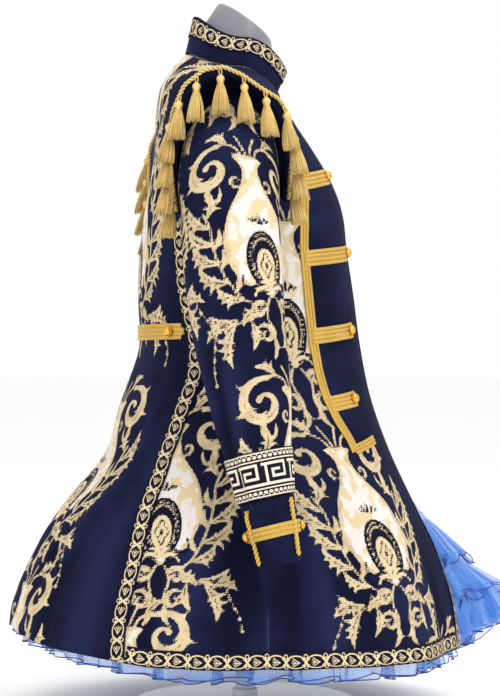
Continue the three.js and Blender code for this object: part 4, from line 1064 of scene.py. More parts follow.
def key_band(colours, sizes):
    """Key pattern band with a beaded border above and below."""
    f = Finish("Key band", Roughness=0.8, **MATT)
    vector, x, y = f.cloth()
    jag = (f.noise(vector, 900.0, 1.0) - 0.5) * 0.8
    cell = sizes.key_cell / MM
    kx, ky = (x / (cell * 9)).fraction() * 9, y / cell
    bars = None
    for x0, x1, y0, y1 in KEY_BARS:
        bar = ((kx - x0).least(x1 - kx)).least((ky - y0).least(y1 - ky))
        bars = bar if bars is None else bars.most(bar)
    key = (bars * cell - 0.35 + jag).rise(-0.25, 0.25)
    height = abs(y)
    band_edge = (0.8 - abs(height - 16.6)).most(0.8 - abs(height - 25.6)) + jag
    bead_x = ((x / 6.4).fraction() - 0.5) * 6.4
    beads = 1.9 - (bead_x**2 * 0.6 + (height - 21.0) ** 2).root() + jag
    dashes = (0.9 - abs(abs(bead_x) - 3.2)).least(0.8 - abs(height - 23.6)) + jag
    pale = key.most(band_edge.rise(-0.25, 0.25)).most(beads.most(dashes).rise(-0.2, 0.2))
    threads = f.noise(f.squeezed(vector, 1.0, 5.0), 420.0, 1.0)
    yarn = f.mix(threads, shade(colours.white), shade(colours.cream, 1.1))
    f.feed("Base Color", f.mix(pale, shade(colours.black), yarn))
    f.bump(pale + threads * 0.5, 0.6, 0.0008)
    return f.material


def gold_yarn(name, colour, dark, scale):
    """Fine twisted yarn, its turns running along each strand. Its colour runs from a shaded to a lit copy of the
    gold: painted shade in the grooves between the turns and painted light on their crowns, with random streaks along
    the strands.
    """
    f = Finish(name, Metallic=0.45, Roughness=0.45)
    vector, x, y = f.cloth()
    # The turns of the twist: painted light and shade in the colour, and real relief in the bump
    twist_shade_and_relief = ((x * 3.2 + y * 2.0).wave() * 0.5 + 0.5).rise(0.1, 0.9)
    streak = f.noise(f.squeezed(vector, 0.3, 3.0), scale, 2.0)
    share = twist_shade_and_relief * 0.45 + streak * 0.5 + f.noise(f.place(), 40.0, 2.0) * 0.25
    # dark is the painted shade between the threads, colour is their painted light
    f.feed("Base Color", f.mix(share.rise(0.1, 0.95), shade(dark), shade(colour)))
    f.feed("Roughness", 0.36 + streak * 0.25)
    f.bump(twist_shade_and_relief + streak, 0.35, 0.0003)
    return f.material


def button_metal(colours, sizes):
    f = Finish("Button metal", Metallic=1.0, Roughness=0.2)
    wear = f.noise(f.place(), 500.0, 3.0)
    f.feed("Base Color", f.mix(wear.rise(0.3, 0.7), shade(colours.metal), shade(colours.metal, 1.25)))
    f.feed("Roughness", 0.14 + wear * 0.2)
    return f.material


def blue_tulle(colours, sizes):
    """Sheer cloth, denser and darker along its gathers."""
    f = Finish("Blue tulle", Roughness=0.45, Sheen_Weight=0.3, Sheen_Roughness=0.3)
    vector, x, y = f.cloth()
    gathers = f.noise(f.squeezed(vector, 1.0, 0.12), 90.0, 2.0, 0.6)
    mesh_grain = f.noise(vector, 1500.0, 0.0)
    f.feed("Base Color", f.mix(gathers.rise(0.3, 0.7), shade(colours.tulle), shade(colours.tulle_pale)))
    f.feed("Alpha", 0.13 + gathers * 0.5 + (mesh_grain - 0.5) * 0.25)
    f.bump(gathers, 0.4, 0.002)
    return f.material


def tulle_edge(colours, sizes):
    f = Finish("Tulle edge", Roughness=0.5, Base_Color=shade(colours.tulle_edge))
    f.feed("Roughness", 0.45 + f.noise(f.place(), 300.0) * 0.2)
    return f.material


def painted(name, colour, spread, drift, grain, rough, relief, **constants):
    """A smooth coat whose tint drifts a little and whose fine grain breaks its shine."""
    f = Finish(name, **constants)
    fine = f.noise(f.place(), grain, 2.0)
    f.feed("Base Color", f.mix(f.noise(f.place(), drift, 2.0), shade(colour, 1 - spread), shade(colour, 1 + spread)))
    f.feed("Roughness", rough[0] + fine * rough[1])
    f.bump(fine, *relief)
    return f.material


def form_grey(colours, sizes):
    constants = dict(Roughness=0.5, Coat_Weight=0.1)
    return painted("Form grey", colours.form, 0.06, 14.0, 700.0, (0.42, 0.2), (0.12, 0.0003), **constants)


def white_enamel(colours, sizes):
    constants = dict(Roughness=0.3, Coat_Weight=0.25)
    return painted("White enamel", colours.stand, 0.03, 20.0, 260.0, (0.24, 0.12), (0.08, 0.0004), **constants)


def pale_floor(colours, sizes):
    f = Finish("Pale floor", Roughness=0.9)
    f.feed("Base Color", f.mix(f.noise(f.place(), 2.0), shade(colours.floor, 0.995), shade(colours.floor)))
    return f.material


FINISHES = {
    "patterned": patterned_velvet,
    "navy": plain_velvet,
    "chain": chain_trim,
    "key": key_band,
    "braid": lambda colours, sizes: gold_yarn("Gold braid", colours.braid, colours.braid_shade, 700.0),
    "thread": lambda colours, sizes: gold_yarn("Gold thread", colours.thread, colours.thread_shade, 900.0),
    "metal": button_metal,
    "tulle": blue_tulle,
    "tulle_edge": tulle_edge,
    "form": form_grey,
    "enamel": white_enamel,
    "floor": pale_floor,
}


# The key pattern in cells, y from the band's middle: from x, to x, from y, to y
KEY_BARS = (
    (-1, 10, -3.5, -2.5), (0, 1, -3.5, 3.5), (0, 7, 2.5, 3.5), (6, 7, -1.5, 3.5), (2, 7, -1.5, -0.5),
    (2, 3, -1.5, 1.5), (2, 5, 0.5, 1.5), (8, 10, 2.5, 3.5), (-1, 1, 2.5, 3.5),
)

finishes = {}


def make_finishes():
    scene = bpy.context.scene
    return {key: make(scene.jacket_colours, scene.jacket_sizes) for key, make in FINISHES.items()}


def finish(key):
    if not finishes:
        finishes.update(make_finishes())
    return finishes[key]


def length_property(name, description, default):
    return bpy.props.FloatProperty(name=name, description=description, default=default, unit="LENGTH")


class JacketSizes(bpy.types.PropertyGroup):
    cloth: length_property("Cloth", "Thickness of the velvet and its backing", 0.0018)
    grid: length_property("Grid", "Distance between points of a velvet panel", 0.0031)
    trim: length_property("Trim", "Width of the chain trim", 0.022)
    chain_period: length_property("Chain repeat", "Length of one link of the chain trim", 0.024)
    key_cell: length_property("Key cell", "Width of a line of the key pattern", 0.0039)
    braid: length_property("Braid", "Width of one row of gold braid", 0.013)
    button: length_property("Button", "Radius of a domed button", 0.0068)
    threads: bpy.props.IntProperty(name="Threads", description="Threads in one tassel's skirt", default=84)
    pattern: bpy.props.FloatProperty(name="Pattern", description="Scale of the woven pattern", default=1.0)
    gathers: bpy.props.IntProperty(name="Gathers", description="Gathers round one ruffle", default=120)


def colour_property(name, description, default):
    return bpy.props.FloatVectorProperty(
        name=name, description=description, default=default, subtype="COLOR", size=3, min=0, max=1
    )


class JacketColours(bpy.types.PropertyGroup):
    # Shaded and lit copies of the velvet, mixed into painted light and shade
    navy: colour_property("Navy", "Velvet in the shade", (0.0042, 0.0056, 0.023))
    navy_lit: colour_property("Lit navy", "Velvet where its nap catches the light", (0.0115, 0.0155, 0.054))
    nap_light: colour_property("Nap", "Sheen of the velvet's pile", (0.25, 0.32, 0.75))
    black: colour_property("Near black", "Ground of the woven trims", (0.006, 0.007, 0.02))
    cream: colour_property("Cream", "Woven figure", (0.68, 0.54, 0.33))
    cream_shade: colour_property("Shaded cream", "Woven figure where it is darker", (0.56, 0.43, 0.25))
    white: colour_property("White", "Woven field", (0.76, 0.71, 0.66))
    # Lit and shaded copies of the gold: painted light on the threads and painted shade between them
    braid: colour_property("Gold braid", "Flat braid where it is lit", (0.8, 0.54, 0.12))
    braid_shade: colour_property("Dark gold braid", "Flat braid between its threads", (0.36, 0.2, 0.03))
    thread: colour_property("Gold thread", "Tassels and cord where they are lit", (0.86, 0.64, 0.25))
    thread_shade: colour_property("Dark gold thread", "Tassels between their threads", (0.4, 0.25, 0.06))
    metal: colour_property("Button metal", "Domed buttons", (0.72, 0.36, 0.06))
    tulle: colour_property("Tulle", "Ruffles where they are gathered", (0.012, 0.15, 0.64))
    tulle_pale: colour_property("Pale tulle", "Ruffles where one layer shows", (0.12, 0.37, 0.88))
    tulle_edge: colour_property("Tulle edge", "Rolled edge of the ruffles", (0.02, 0.05, 0.28))
    form: colour_property("Form", "Dress form", (0.19, 0.19, 0.215))
    stand: colour_property("Stand", "Post and base", (0.84, 0.84, 0.84))
    floor: colour_property("Floor", "Studio floor", (0.97, 0.97, 0.97))


def velvet_mm():
    return bpy.context.scene.jacket_sizes.cloth / MM


# Velvet panels


def armhole_plug(side):
    """A closed block that fills a sleeve's inside, from well within the body."""
    turns = np.arange(0, 360, 7.5)
    rings = [sleeve_point(side, turns, ring, -velvet_mm(), folded=False) for ring in np.arange(0, 3.1, 0.5)]
    start = rings[0].copy()
    start[:, 0] = side * 100
    rings = np.array([start, *rings])
    count, last = len(turns), (len(rings) - 1) * len(turns)
    points = np.concatenate([rings.reshape(-1, 3), [rings[0].mean(0), rings[-1].mean(0)]])
    faces = []
    for j in range(count):
        beside = (j + 1) % count
        faces += [[j, beside, len(points) - 2], [last + beside, last + j, len(points) - 1]]
        for a in range(0, last, count):
            faces += [[a + j, a + count + j, a + count + beside], [a + j, a + count + beside, a + beside]]
    mesh = bpy.data.meshes.new("plug")
    mesh.from_pydata((points * MM).tolist(), [], faces)
    plug = bpy.data.objects.new("plug", mesh)
    bpy.context.scene.collection.objects.link(plug)
    select_only(plug)
    bpy.ops.object.mode_set(mode="EDIT")
    bpy.ops.mesh.select_all(action="SELECT")
    bpy.ops.mesh.normals_make_consistent(inside=False)
    bpy.ops.object.mode_set(mode="OBJECT")
    return plug


def select_only(piece):
    bpy.ops.object.select_all(action="DESELECT")
    piece.select_set(True)
    bpy.context.view_layer.objects.active = piece


def cut_out(piece, plug):
    select_only(piece)
    cut = piece.modifiers.new("armhole", "BOOLEAN")
    cut.operation, cut.object, cut.solver = "DIFFERENCE", plug, "MANIFOLD"
    bpy.ops.object.modifier_apply(modifier=cut.name)
    if not piece.data.polygons:
        raise RuntimeError(f"{piece.name} was cut away")


def panel_grid(start, end, low=0.0, high=NECKLINE, middle=None):
    """Angles and rings of a panel's points. start and end give its edges' angles at a ring."""
    step = bpy.context.scene.jacket_sizes.grid / MM
    rows = rows_by_length(middle if middle is not None else (start(6.0) + end(6.0)) / 2, low, high, step, 3)
    widest = mm_per_degree((start(0.0) + end(0.0)) / 2, 0.0) * abs(end(0.0) - start(0.0))
    count = int(np.ceil(widest / step / 3)) * 3
    share = np.linspace(0, 1, count + 1)[None, :]
    from_angle, to_angle = start(rows)[:, None], end(rows)[:, None]
    gap = 0.15 / mm_per_degree(from_angle, rows[:, None]) * np.sign(to_angle - from_angle)
    angles = from_angle + gap + (to_angle - from_angle - 2 * gap) * share
    return angles, np.broadcast_to(rows[:, None], angles.shape)


def velvet_panel(name, angles, rings, grain, motifs, replaces, cutters, plain=None):
    """A panel of patterned velvet. grain is 0 where its cloth hangs from its first edge, 0.5 from its middle.
    motifs gives each medallion's angle, ring, turn and size. plain keeps the pattern off part of the panel."""
    outer = jacket_point(angles, rings, 0.0)
    inner = jacket_point(angles[::3, ::3], rings[::3, ::3], -velvet_mm())
    across = lengths(outer, 1)
    across = across - across[:, -1:] * grain
    up = lengths(outer, 0)[:, outer.shape[1] // 2][:, None] + 0 * across
    weave = Weave(-across if grain == 0 else across, up)
    size = bpy.context.scene.jacket_sizes.pattern
    for angle, ring, turn, scale in motifs:
        row = int(np.abs(rings[:, 0] - ring).argmin())
        column = int(np.abs(angles[row] - angle).argmin())
        below_hem = (ring - rings[row, 0]) * BODY_RING[0][1]
        spot = weave.points.reshape(*weave.shape, 2)[row, column] + [0, below_hem]
        medallion(weave, *spot, turn, scale * size)
    values = weave.layers
    if plain is not None:
        limit = plain(angles, rings).ravel()
        values = {key: np.minimum(array, limit) for key, array in values.items()}
    # Fold heights, from which the shader paints fold crests lighter and troughs darker: painted light and shade
    values["nap_light"] = body_folds(angles, rings).ravel()
    mesh = Mesh()
    places = np.stack([across, up], -1)
    shell(mesh, outer, inner, 3, places, values)
    piece = mesh.piece(name, finish("patterned"), "velvet_patterned", replaces)
    for plug in cutters:
        cut_out(piece, plug)
    flat = (float(np.ptp(across, axis=1).max() * MM), float(up.max() * MM))
    area = float(np.mean(across[:, -1] - across[:, 0]) * up.max() * MM * MM)


def bib_limit(angles, rings):
    """Mm outside the plain bib and the plain shoulder over it, negative within them."""
    bib = looked_up(BIB_EDGE, rings)
    away = np.abs(angles)
    per_degree = mm_per_degree(away, rings)
    beside = (away - bib) * per_degree
    foot = BIB_FOOT[0] + 0.14 * (bib - away) / 15
    under = (foot - rings) * 68
    over = (rings - BIB_TOP) * 42
    in_bib = np.minimum(np.minimum(-beside, -under), -over)
    shoulder = np.minimum(over, (SHOULDER_EDGE - away) * per_degree)
    return -np.maximum(in_bib, shoulder)


# Highest ring of the side panels
SIDE_TOP = 10.15
# Middle of each medallion: angle, ring, turn, size
FRONT_MOTIFS = ((50.4, 2.25, 0, 1.04), (74.8, 6.3, 0, 1.04), (30, -2.1, 0, 1.04))
SIDE_MOTIFS = ((117, 2.75, -3, 1.02), (112, 6.9, 0, 1.0), (118, -1.4, -3, 1.02))
BACK_MOTIFS = ((192, 3.3, 3, 1.0), (186, 7.7, 0, 1.0), (196, -1.2, 3, 1.0), (184, 12.4, 0, 1.0))


def make_panels():
    plugs = {name: armhole_plug(side) for name, side in SIDES.items()}
    for name, side in SIDES.items():
        edge = lambda ring, side=side: side * front_edge(ring)
        seam = lambda ring, side=side: side * looked_up(SIDE_SEAM, ring)
        back = lambda ring, side=side: side * looked_up(BACK_SEAM, ring)
        cutters = [plugs[name]]
        for panel, node, grid, grain, motifs, plain in (
            ("front_velvet", "front", panel_grid(edge, seam), 0, FRONT_MOTIFS, bib_limit),
            ("side_velvet", "side_panel", panel_grid(seam, back, 0.0, SIDE_TOP), 0.5, SIDE_MOTIFS, None),
        ):
            motifs = [(side * angle, *rest) for angle, *rest in motifs]
            velvet_panel(f"{panel}_{name}", *grid, grain, motifs, [f"{node}_{name}"], cutters, plain)
    start = lambda ring: looked_up(BACK_SEAM, ring)
    end = lambda ring: 360 - looked_up(BACK_SEAM, ring)
    angles, rings = panel_grid(start, end, middle=180)
    velvet_panel("back_velvet", angles, rings, 0.5, BACK_MOTIFS, ["back"], list(plugs.values()))
    for plug in plugs.values():
        bpy.data.objects.remove(plug)


# Sleeves


def body_tree():
    """The unfolded body, to find where the sleeves come out of it."""
    angles, rings = np.meshgrid(np.arange(0, 363, 3.0), np.arange(4, 15.01, 0.2))
    points = body_point(angles, rings)
    faces = grid_faces(*points.shape[:2]).tolist()
    return BVHTree.FromPolygons(points.reshape(-1, 3).tolist(), faces)


def sleeve_starts(side, turns):
    """The ring at which each column of a sleeve comes out of the body."""
    tree = body_tree()
    rings = np.arange(0.1, 4.6, 0.05)
    starts = []
    for turn in turns:
        line = sleeve_point(side, np.full_like(rings, turn), rings, folded=False)
        last = 0.1
        for ring, point in zip(rings, line):
            spot, normal, _, _ = tree.find_nearest(Vector(point))
            outward = normal if normal.dot(spot - Vector((0, 10, spot.z))) > 0 else -normal
            if (Vector(point) - spot).dot(outward) < -1.0:
                last = ring
        starts.append(last)
    return softened(np.array(starts), 2)


def make_sleeves():
    step = bpy.context.scene.jacket_sizes.grid / MM
    for name, side in SIDES.items():
        columns = int(round(SLEEVE_GIRTH / step / 3)) * 3
        turns = np.linspace(-180, 180, columns + 1)
        starts = sleeve_starts(side, turns)
        starts[-1] = starts[0]
        rows = int(round(SLEEVE_LENGTH / step / 3)) * 3
        share = np.linspace(0, 1, rows + 1)[:, None]
        rings = starts[None, :] + (CUFF_SEAM - 0.02 - starts[None, :]) * share
        angles = np.broadcast_to(turns[None, :], rings.shape)
        outer = sleeve_point(side, angles, rings)
        inner = sleeve_point(side, angles[::3, ::3], rings[::3, ::3], -velvet_mm())
        around = -(lengths(outer, 1) - lengths(outer, 1)[:, [columns // 2]])
        fine = np.linspace(0, CUFF_SEAM, 400)
        run = lengths(sleeve_point(side, 0.0, fine), 0)
        down = np.interp(rings, fine, run)
        weave = Weave(around, -down)
        first = -np.interp(SLEEVE_MIDDLE, fine, run)
        for x, up, turn in SLEEVE_MOTIFS:
            medallion(weave, x, first + up, turn, bpy.context.scene.jacket_sizes.pattern)
        # Fold heights, from which the shader paints fold crests lighter and troughs darker: painted light and shade
        weave.layers["nap_light"] = sleeve_folds(side, angles, rings).ravel()
        mesh = Mesh()
        shell(mesh, outer, inner, 3, np.stack([around, -down], -1), weave.layers, closed=True)
        replaced = [f"sleeve_{name}"]
        sleeve = mesh.piece(f"sleeve_velvet_{name}", finish("patterned"), "velvet_patterned", replaced)
        make_key_band(name, side)
        make_cuff(name, side)


def make_key_band(name, side):
    """The woven band over a sleeve's lower end."""
    turns, rings = np.linspace(-180, 180, 121), np.linspace(KEY_BAND_TOP, CUFF_SEAM - 0.02, 25)
    angles, at = np.meshgrid(turns, rings)
    crown = 0.5 * (1 - ((at - rings.mean()) / (rings[-1] - rings.mean())) ** 4)
    outer = sleeve_point(side, angles, at, LIFT + 0.5 + crown)
    inner = sleeve_point(side, angles[::3, ::3], at[::3, ::3], LIFT)
    around = lengths(outer, 1) - lengths(outer, 1)[:, [60]]
    up = -(lengths(outer, 0) - lengths(outer, 0)[-1:] / 2)
    mesh = Mesh()
    shell(mesh, outer, inner, 3, np.stack([-around, up], -1), closed=True)
    mesh.piece(f"key_band_weave_{name}", finish("key"), "key_band", [f"key_band_{name}"])


def make_cuff(name, side):
    """A plain cuff with a rolled edge."""
    turns = np.linspace(-180, 180, 91)
    rings = np.linspace(CUFF_SEAM, CUFF_EDGE - 0.02, 37)
    angles, at = np.meshgrid(turns, rings)
    rolled = 0.6 * np.exp(-(((at - CUFF_EDGE) / 0.12) ** 2)) + 0.3 * np.sin(np.radians(angles) * 3 + at)
    outer = sleeve_point(side, angles, at, rolled)
    inner = sleeve_point(side, angles[::3, ::3], at[::3, ::3], -velvet_mm())
    mesh = Mesh()
    places = np.stack([lengths(outer, 1), lengths(outer, 0)], -1)
    shell(mesh, outer, inner, 3, places, closed=True)
    cuff = mesh.piece(f"cuff_velvet_{name}", finish("navy"), "velvet_navy", [f"cuff_{name}"])


# Middle of each medallion on a sleeve: mm forward of its outer line, mm up from the first, turn. SLEEVE_MIDDLE is
# the ring of the first
SLEEVE_MOTIFS = ((38, 0, 8), (76, -287, 8), (0, 287, 8), (-152, 20, 8))
SLEEVE_MIDDLE = 5.5


# Shoulder wings, cord and tassels


def make_wings():
    for name, side in SIDES.items():
        turns = np.linspace(WING["start"], WING["end"], 151)
        shares = np.linspace(0, 1, 25)
        half = WING["thick"] / 2
        outer = wing_rows(side, turns, shares, half)
        inner = wing_rows(side, turns[::3], shares[::3], -half)
        places = np.stack([lengths(outer, 1), lengths(outer, 0)], -1)
        mesh = Mesh()
        shell(mesh, outer, inner, 3, places)
        wing = mesh.piece(f"wing_velvet_{name}", finish("navy"), "velvet_navy", [f"shoulder_wing_{name}"])


def tassel_turns(side):
    """Turns of the tassels, evenly spaced along the cord."""
    fine = np.linspace(WING["start"] + 6, WING["end"] - 6, 201)
    run = lengths(cord_line(side, fine), 0)
    return np.interp(run[-1] * (np.arange(TASSELS) + 0.5) / TASSELS, run, fine)


def tassel(mesh, draws, side, turn, top, threads):
    """One tassel hung from the cord: loop, wound head and a skirt of threads."""
    c = math.cos(math.radians(turn))
    steep = abs(c)
    outward = unit(np.array([side, c * 0.45, 0.0]))
    beside = np.array([-outward[1], outward[0], 0.0])
    hang = unit(np.array([0, 0, -1.0]) + outward * (0.1 + 0.12 * steep))
    start = top + outward * TASSEL["clear"] * steep**2
    down = lambda mm: start + hang * mm
    head = TASSEL["head"]
    neck = TASSEL["loop"] + head * 2
    # A loop of cord on each side of the tassel's axis
    for way in (-1, 1):
        t = np.linspace(0, 1, 8)[:, None]
        line = top * (1 - t) + down(TASSEL["loop"] + 1.5) * t + beside * way * 1.7 * np.sin(np.pi * t)
        tube(mesh, line, 0.75, 5, upward=outward)
    # The wound head, then its neck ring
    places, radii = np.array(HEAD_PROFILE).T
    tube(mesh, [down(TASSEL["loop"] + mm) for mm in places], radii, 14, upward=outward)
    ring = np.linspace(0, 2 * np.pi, 13)[:, None]
    for drop in (8.8, 10.0):
        around = down(TASSEL["loop"] + drop) + 3.5 * (np.cos(ring) * beside + np.sin(ring) * outward)
        tube(mesh, around, 0.7, 5, upward=hang)
    # A core, so the skirt isn't hollow
    lean = lambda mm: outward * TASSEL["lean"] * max(0.0, (mm - neck) / TASSEL["skirt"]) ** 1.4
    places, radii = np.array(CORE_PROFILE).T
    tube(mesh, [down(neck + mm) + lean(neck + mm) for mm in places], radii, 10, upward=outward)
    for k in range(threads):
        a = 2 * math.pi * (k * GOLDEN_TURN + 0.02 * draws.random())
        layer = 0.72 + 0.28 * math.sqrt((k + 0.5) / threads)
        spread = TASSEL["spread"] * (layer + 0.1 * (draws.random() - 0.5))
        length = TASSEL["skirt"] * (0.95 + 0.1 * draws.random())
        sway = a + 0.25 * (draws.random() - 0.5)
        line = []
        for t in np.linspace(0, 1, 5):
            r = 3.1 + (spread - 3.1) * (1 - (1 - t) ** 1.8)
            turn_at = a + (sway - a) * t
            spot = down(neck - 1.5 + (length + 1.5) * t) + lean(neck + length * t)
            line.append(spot + r * (math.cos(turn_at) * beside + 0.86 * math.sin(turn_at) * outward))
        tube(mesh, line, THREAD_RADII, 3, upward=outward)


def make_tassels():
    threads = bpy.context.scene.jacket_sizes.threads
    for name, side in SIDES.items():
        draws = np.random.default_rng(11 + side)
        turns = np.linspace(WING["start"] + 2, WING["end"] - 2, 420)
        line = cord_line(side, turns)
        run = lengths(line, 0)
        along = unit(np.gradient(line, axis=0))
        across = unit(np.cross([1.0, 0, 0], along))
        third = np.cross(along, across)
        mesh = Mesh()
        for k in range(2):
            a = 2 * np.pi * (run / TWIST + k / 2)
            offset = CORD_TWIST["sway"] * (np.cos(a)[:, None] * across + np.sin(a)[:, None] * third)
            tube(mesh, line + offset, CORD_TWIST["strand"], 8)
        hung = tassel_turns(side)
        tops = np.stack([np.interp(hung, turns, line[:, k]) for k in range(3)], 1)
        for turn, top in zip(hung, tops):
            tassel(mesh, draws, side, turn, top, threads)
        mesh.piece(f"gold_fringe_{name}", finish("thread"), "gold_thread", [f"tassel_fringe_{name}"])


# Trims, braid, belt and buttons


def body_strip(angles, rings, spacing):
    """A strip on the velvet along a row of angles and rings."""
    return Strip(jacket_point, np.stack(np.broadcast_arrays(angles, rings), 1), spacing)


def make_trims():
    wide = bpy.context.scene.jacket_sizes.trim / MM
    half = wide / 2
    for name, side in SIDES.items():
        rings = np.linspace(0.06, NECKLINE - 0.12, 120)
        edge = front_edge(rings)
        edge = edge + (half + 0.8) / mm_per_degree(edge + 4, rings)
        chain_strip(f"front_chain_{name}", side * edge, rings, wide, f"front_trim_{name}")
        start = edge[0] + (half + 0.6) / mm_per_degree(edge[0], 0.0)
        end = looked_up(BACK_SEAM, 0) - (half + 1.7) / mm_per_degree(119.0, 0.0)
        angles = np.linspace(start, end, 90)
        low, high = body_point(angles, 0.0), body_point(angles, 1.0)
        ring = 0.02 + half / np.linalg.norm(high - low, axis=1)
        chain_strip(f"hem_chain_{name}", side * angles, ring, wide, f"hem_trim_{name}")
        rings = np.linspace(0.06, 8.66, 120)
        seam = side * looked_up(BACK_SEAM, rings)
        chain_strip(f"seam_chain_{name}", seam, rings, wide, f"back_seam_trim_{name}")
    make_collar_trim()


def chain_strip(name, angles, rings, wide, node):
    mesh = Mesh()
    body_strip(angles, rings, 3.0).ribbon(mesh, wide, LIFT, LIFT + 0.7, ribs=6, crown=0.3)
    mesh.piece(name, finish("chain"), "chain_trim", [node])


def collar_grid(low, high, rows, columns, gap):
    """Angles and shares of the collar's height. gap is half the opening in degrees at its foot."""
    ups, shares = np.linspace(low, high, rows), np.linspace(0, 1, columns)
    start = gap + 4 * ups[:, None]
    angles = start + (360 - 2 * start) * shares[None, :]
    return angles, np.broadcast_to(ups[:, None], angles.shape)


def make_collar_trim():
    """The chain trim along the collar's upper half, its repeat drawn in to fit."""
    angles, up = collar_grid(0.5, 0.97, 7, 121, 0.8)
    outer, inner = collar_point(angles, up, 1.5), collar_point(angles, up, 0.5)
    across = lengths(outer, 0)
    along = lengths(outer, 1)
    mesh = Mesh()
    places = np.stack([along * 1.12, (across - across[-1:] / 2) * 20 / np.maximum(across[-1:], 1)], -1)
    shell(mesh, outer, inner, 1, places)
    mesh.piece("collar_chain", finish("chain"), "chain_trim", ["collar_trim"])


def button_model(radius, high):
    """A domed button with a beaded rim, standing on z = 0, modelled once."""
    bpy.ops.object.select_all(action="DESELECT")
    bpy.ops.mesh.primitive_uv_sphere_add(segments=36, ring_count=20, radius=radius * 0.86)
    dome = bpy.context.object
    bpy.ops.object.mode_set(mode="EDIT")
    bpy.ops.mesh.select_all(action="SELECT")
    bpy.ops.transform.resize(value=(1, 1, 0.72))
    bpy.ops.mesh.bisect(plane_co=(0, 0, -radius * 0.2), plane_no=(0, 0, 1), clear_inner=True, use_fill=True)
    bpy.ops.mesh.select_all(action="SELECT")
    bpy.ops.transform.translate(value=(0, 0, high - radius * 0.62))
    bpy.ops.object.mode_set(mode="OBJECT")
    parts = [dome]
    for wide, thick, z in ((0.88, 0.12, 0.3), (0.62, 0.2, 0.12)):
        bpy.ops.mesh.primitive_torus_add(
            major_segments=36,
            minor_segments=10,
            major_radius=radius * wide,
            minor_radius=radius * thick,
            location=(0, 0, high * z),
        )
        parts.append(bpy.context.object)
    for k in range(18):
        a = 2 * math.pi * k / 18
        spot = (radius * 0.9 * math.cos(a), radius * 0.9 * math.sin(a), high * 0.34)
        bpy.ops.mesh.primitive_ico_sphere_add(subdivisions=1, radius=radius * 0.13, location=spot)
        parts.append(bpy.context.object)
    shank = dict(radius=radius * 0.5, depth=high * 0.3, location=(0, 0, high * 0.15))
    bpy.ops.mesh.primitive_cylinder_add(vertices=24, **shank)
    parts.append(bpy.context.object)
    bpy.ops.object.select_all(action="DESELECT")
    for part in parts:
        part.select_set(True)
    bpy.context.view_layer.objects.active = dome
    bpy.ops.object.transform_apply(location=True, rotation=True, scale=True)
    bpy.ops.object.join()
    dome.data.shade_smooth()
    return dome


def button_copy(model, node, point, direction):
    """A copy of the button that stands at a point."""
    turn = Vector((0, 0, 1)).rotation_difference(Vector(direction)).to_matrix().to_4x4()
    data = model.data.copy()
    data.transform(Matrix.Translation(Vector(point) * MM) @ turn)
    piece = bpy.data.objects.new(f"dome_{node}", data)
    bpy.context.scene.collection.objects.link(piece)
    dressed(piece, finish("metal"), [node])


def make_braid():
    sizes = bpy.context.scene.jacket_sizes
    wide = sizes.braid / MM
    model = button_model(sizes.button, BUTTON_HIGH)
    top = LIFT + BRAID_THICK
    on_braid = top + 0.2
    for name, side in SIDES.items():
        mesh = Mesh()
        rings = np.linspace(4.08, BIB_TOP, 60)
        upright = body_strip(side * looked_up(BIB_EDGE, rings), rings, 1.7)
        upright.plaits(mesh, wide, UPRIGHT_ROWS, LIFT, top + 0.2)
        # Each bar ends 5 mm past its button
        bars = [
            (outer, ring, angle - 5 / mm_per_degree(angle, ring), BAR_WIDE, BAR_ROWS)
            for outer, ring, angle in BIB_BARS
        ]
        for outer_ring, inner_ring, inner_angle, bar_wide, rows in (*bars, (*BIB_FOOT, wide, UPRIGHT_ROWS)):
            share = np.linspace(0, 1, 12)
            outer_angle = looked_up(BIB_EDGE, outer_ring)
            angles = outer_angle + (inner_angle - outer_angle) * share
            at = outer_ring + (inner_ring - outer_ring) * share
            body_strip(side * angles, at, 1.7).plaits(mesh, bar_wide, rows, LIFT + 0.3, top + 0.5)
        mesh.piece(f"bib_plaits_{name}", finish("braid"), "gold_braid", [f"bib_braid_{name}"])
        for i, (_, ring, angle) in enumerate(BIB_BARS):
            point = jacket_point(side * angle, ring, on_braid)
            direction = body_normal(side * angle, ring)
            button_copy(model, f"front_button_{name}_{i + 1}", point, direction)
        make_cuff_braid(model, name, side, on_braid)
    make_belt(model, on_braid)
    bpy.data.objects.remove(model)


def make_belt(model, on_braid):
    """The half belt across the back, pointed at its ends."""
    mesh = Mesh()
    angles = np.linspace(BELT["shoulder"] - 1.2, 361.2 - BELT["shoulder"], 90)
    strip = body_strip(angles, BELT["ring"], 1.8)
    strip.plaits(mesh, BELT["wide"], BAR_ROWS, LIFT, LIFT + BRAID_THICK + 0.3)
    for start, end in ((BELT["tip"], BELT["shoulder"]), (360 - BELT["tip"], 360 - BELT["shoulder"])):
        for offset in (-3.4, 3.4):
            share = np.linspace(0, 1, 8)
            angle = start + (end - start) * share
            ring = BELT["ring"] + offset * share**0.7 / 66
            body_strip(angle, ring, 1.6).plaits(mesh, 7, 1, LIFT, LIFT + BRAID_THICK + 0.3)
    mesh.piece("half_belt_plaits", finish("braid"), "gold_braid", ["half_belt"])
    for name, angle in (("right", 360 - BELT["button"]), ("left", BELT["button"])):
        point = jacket_point(angle, BELT["ring"], on_braid)
        button_copy(model, f"belt_button_{name}", point, body_normal(angle, BELT["ring"]))


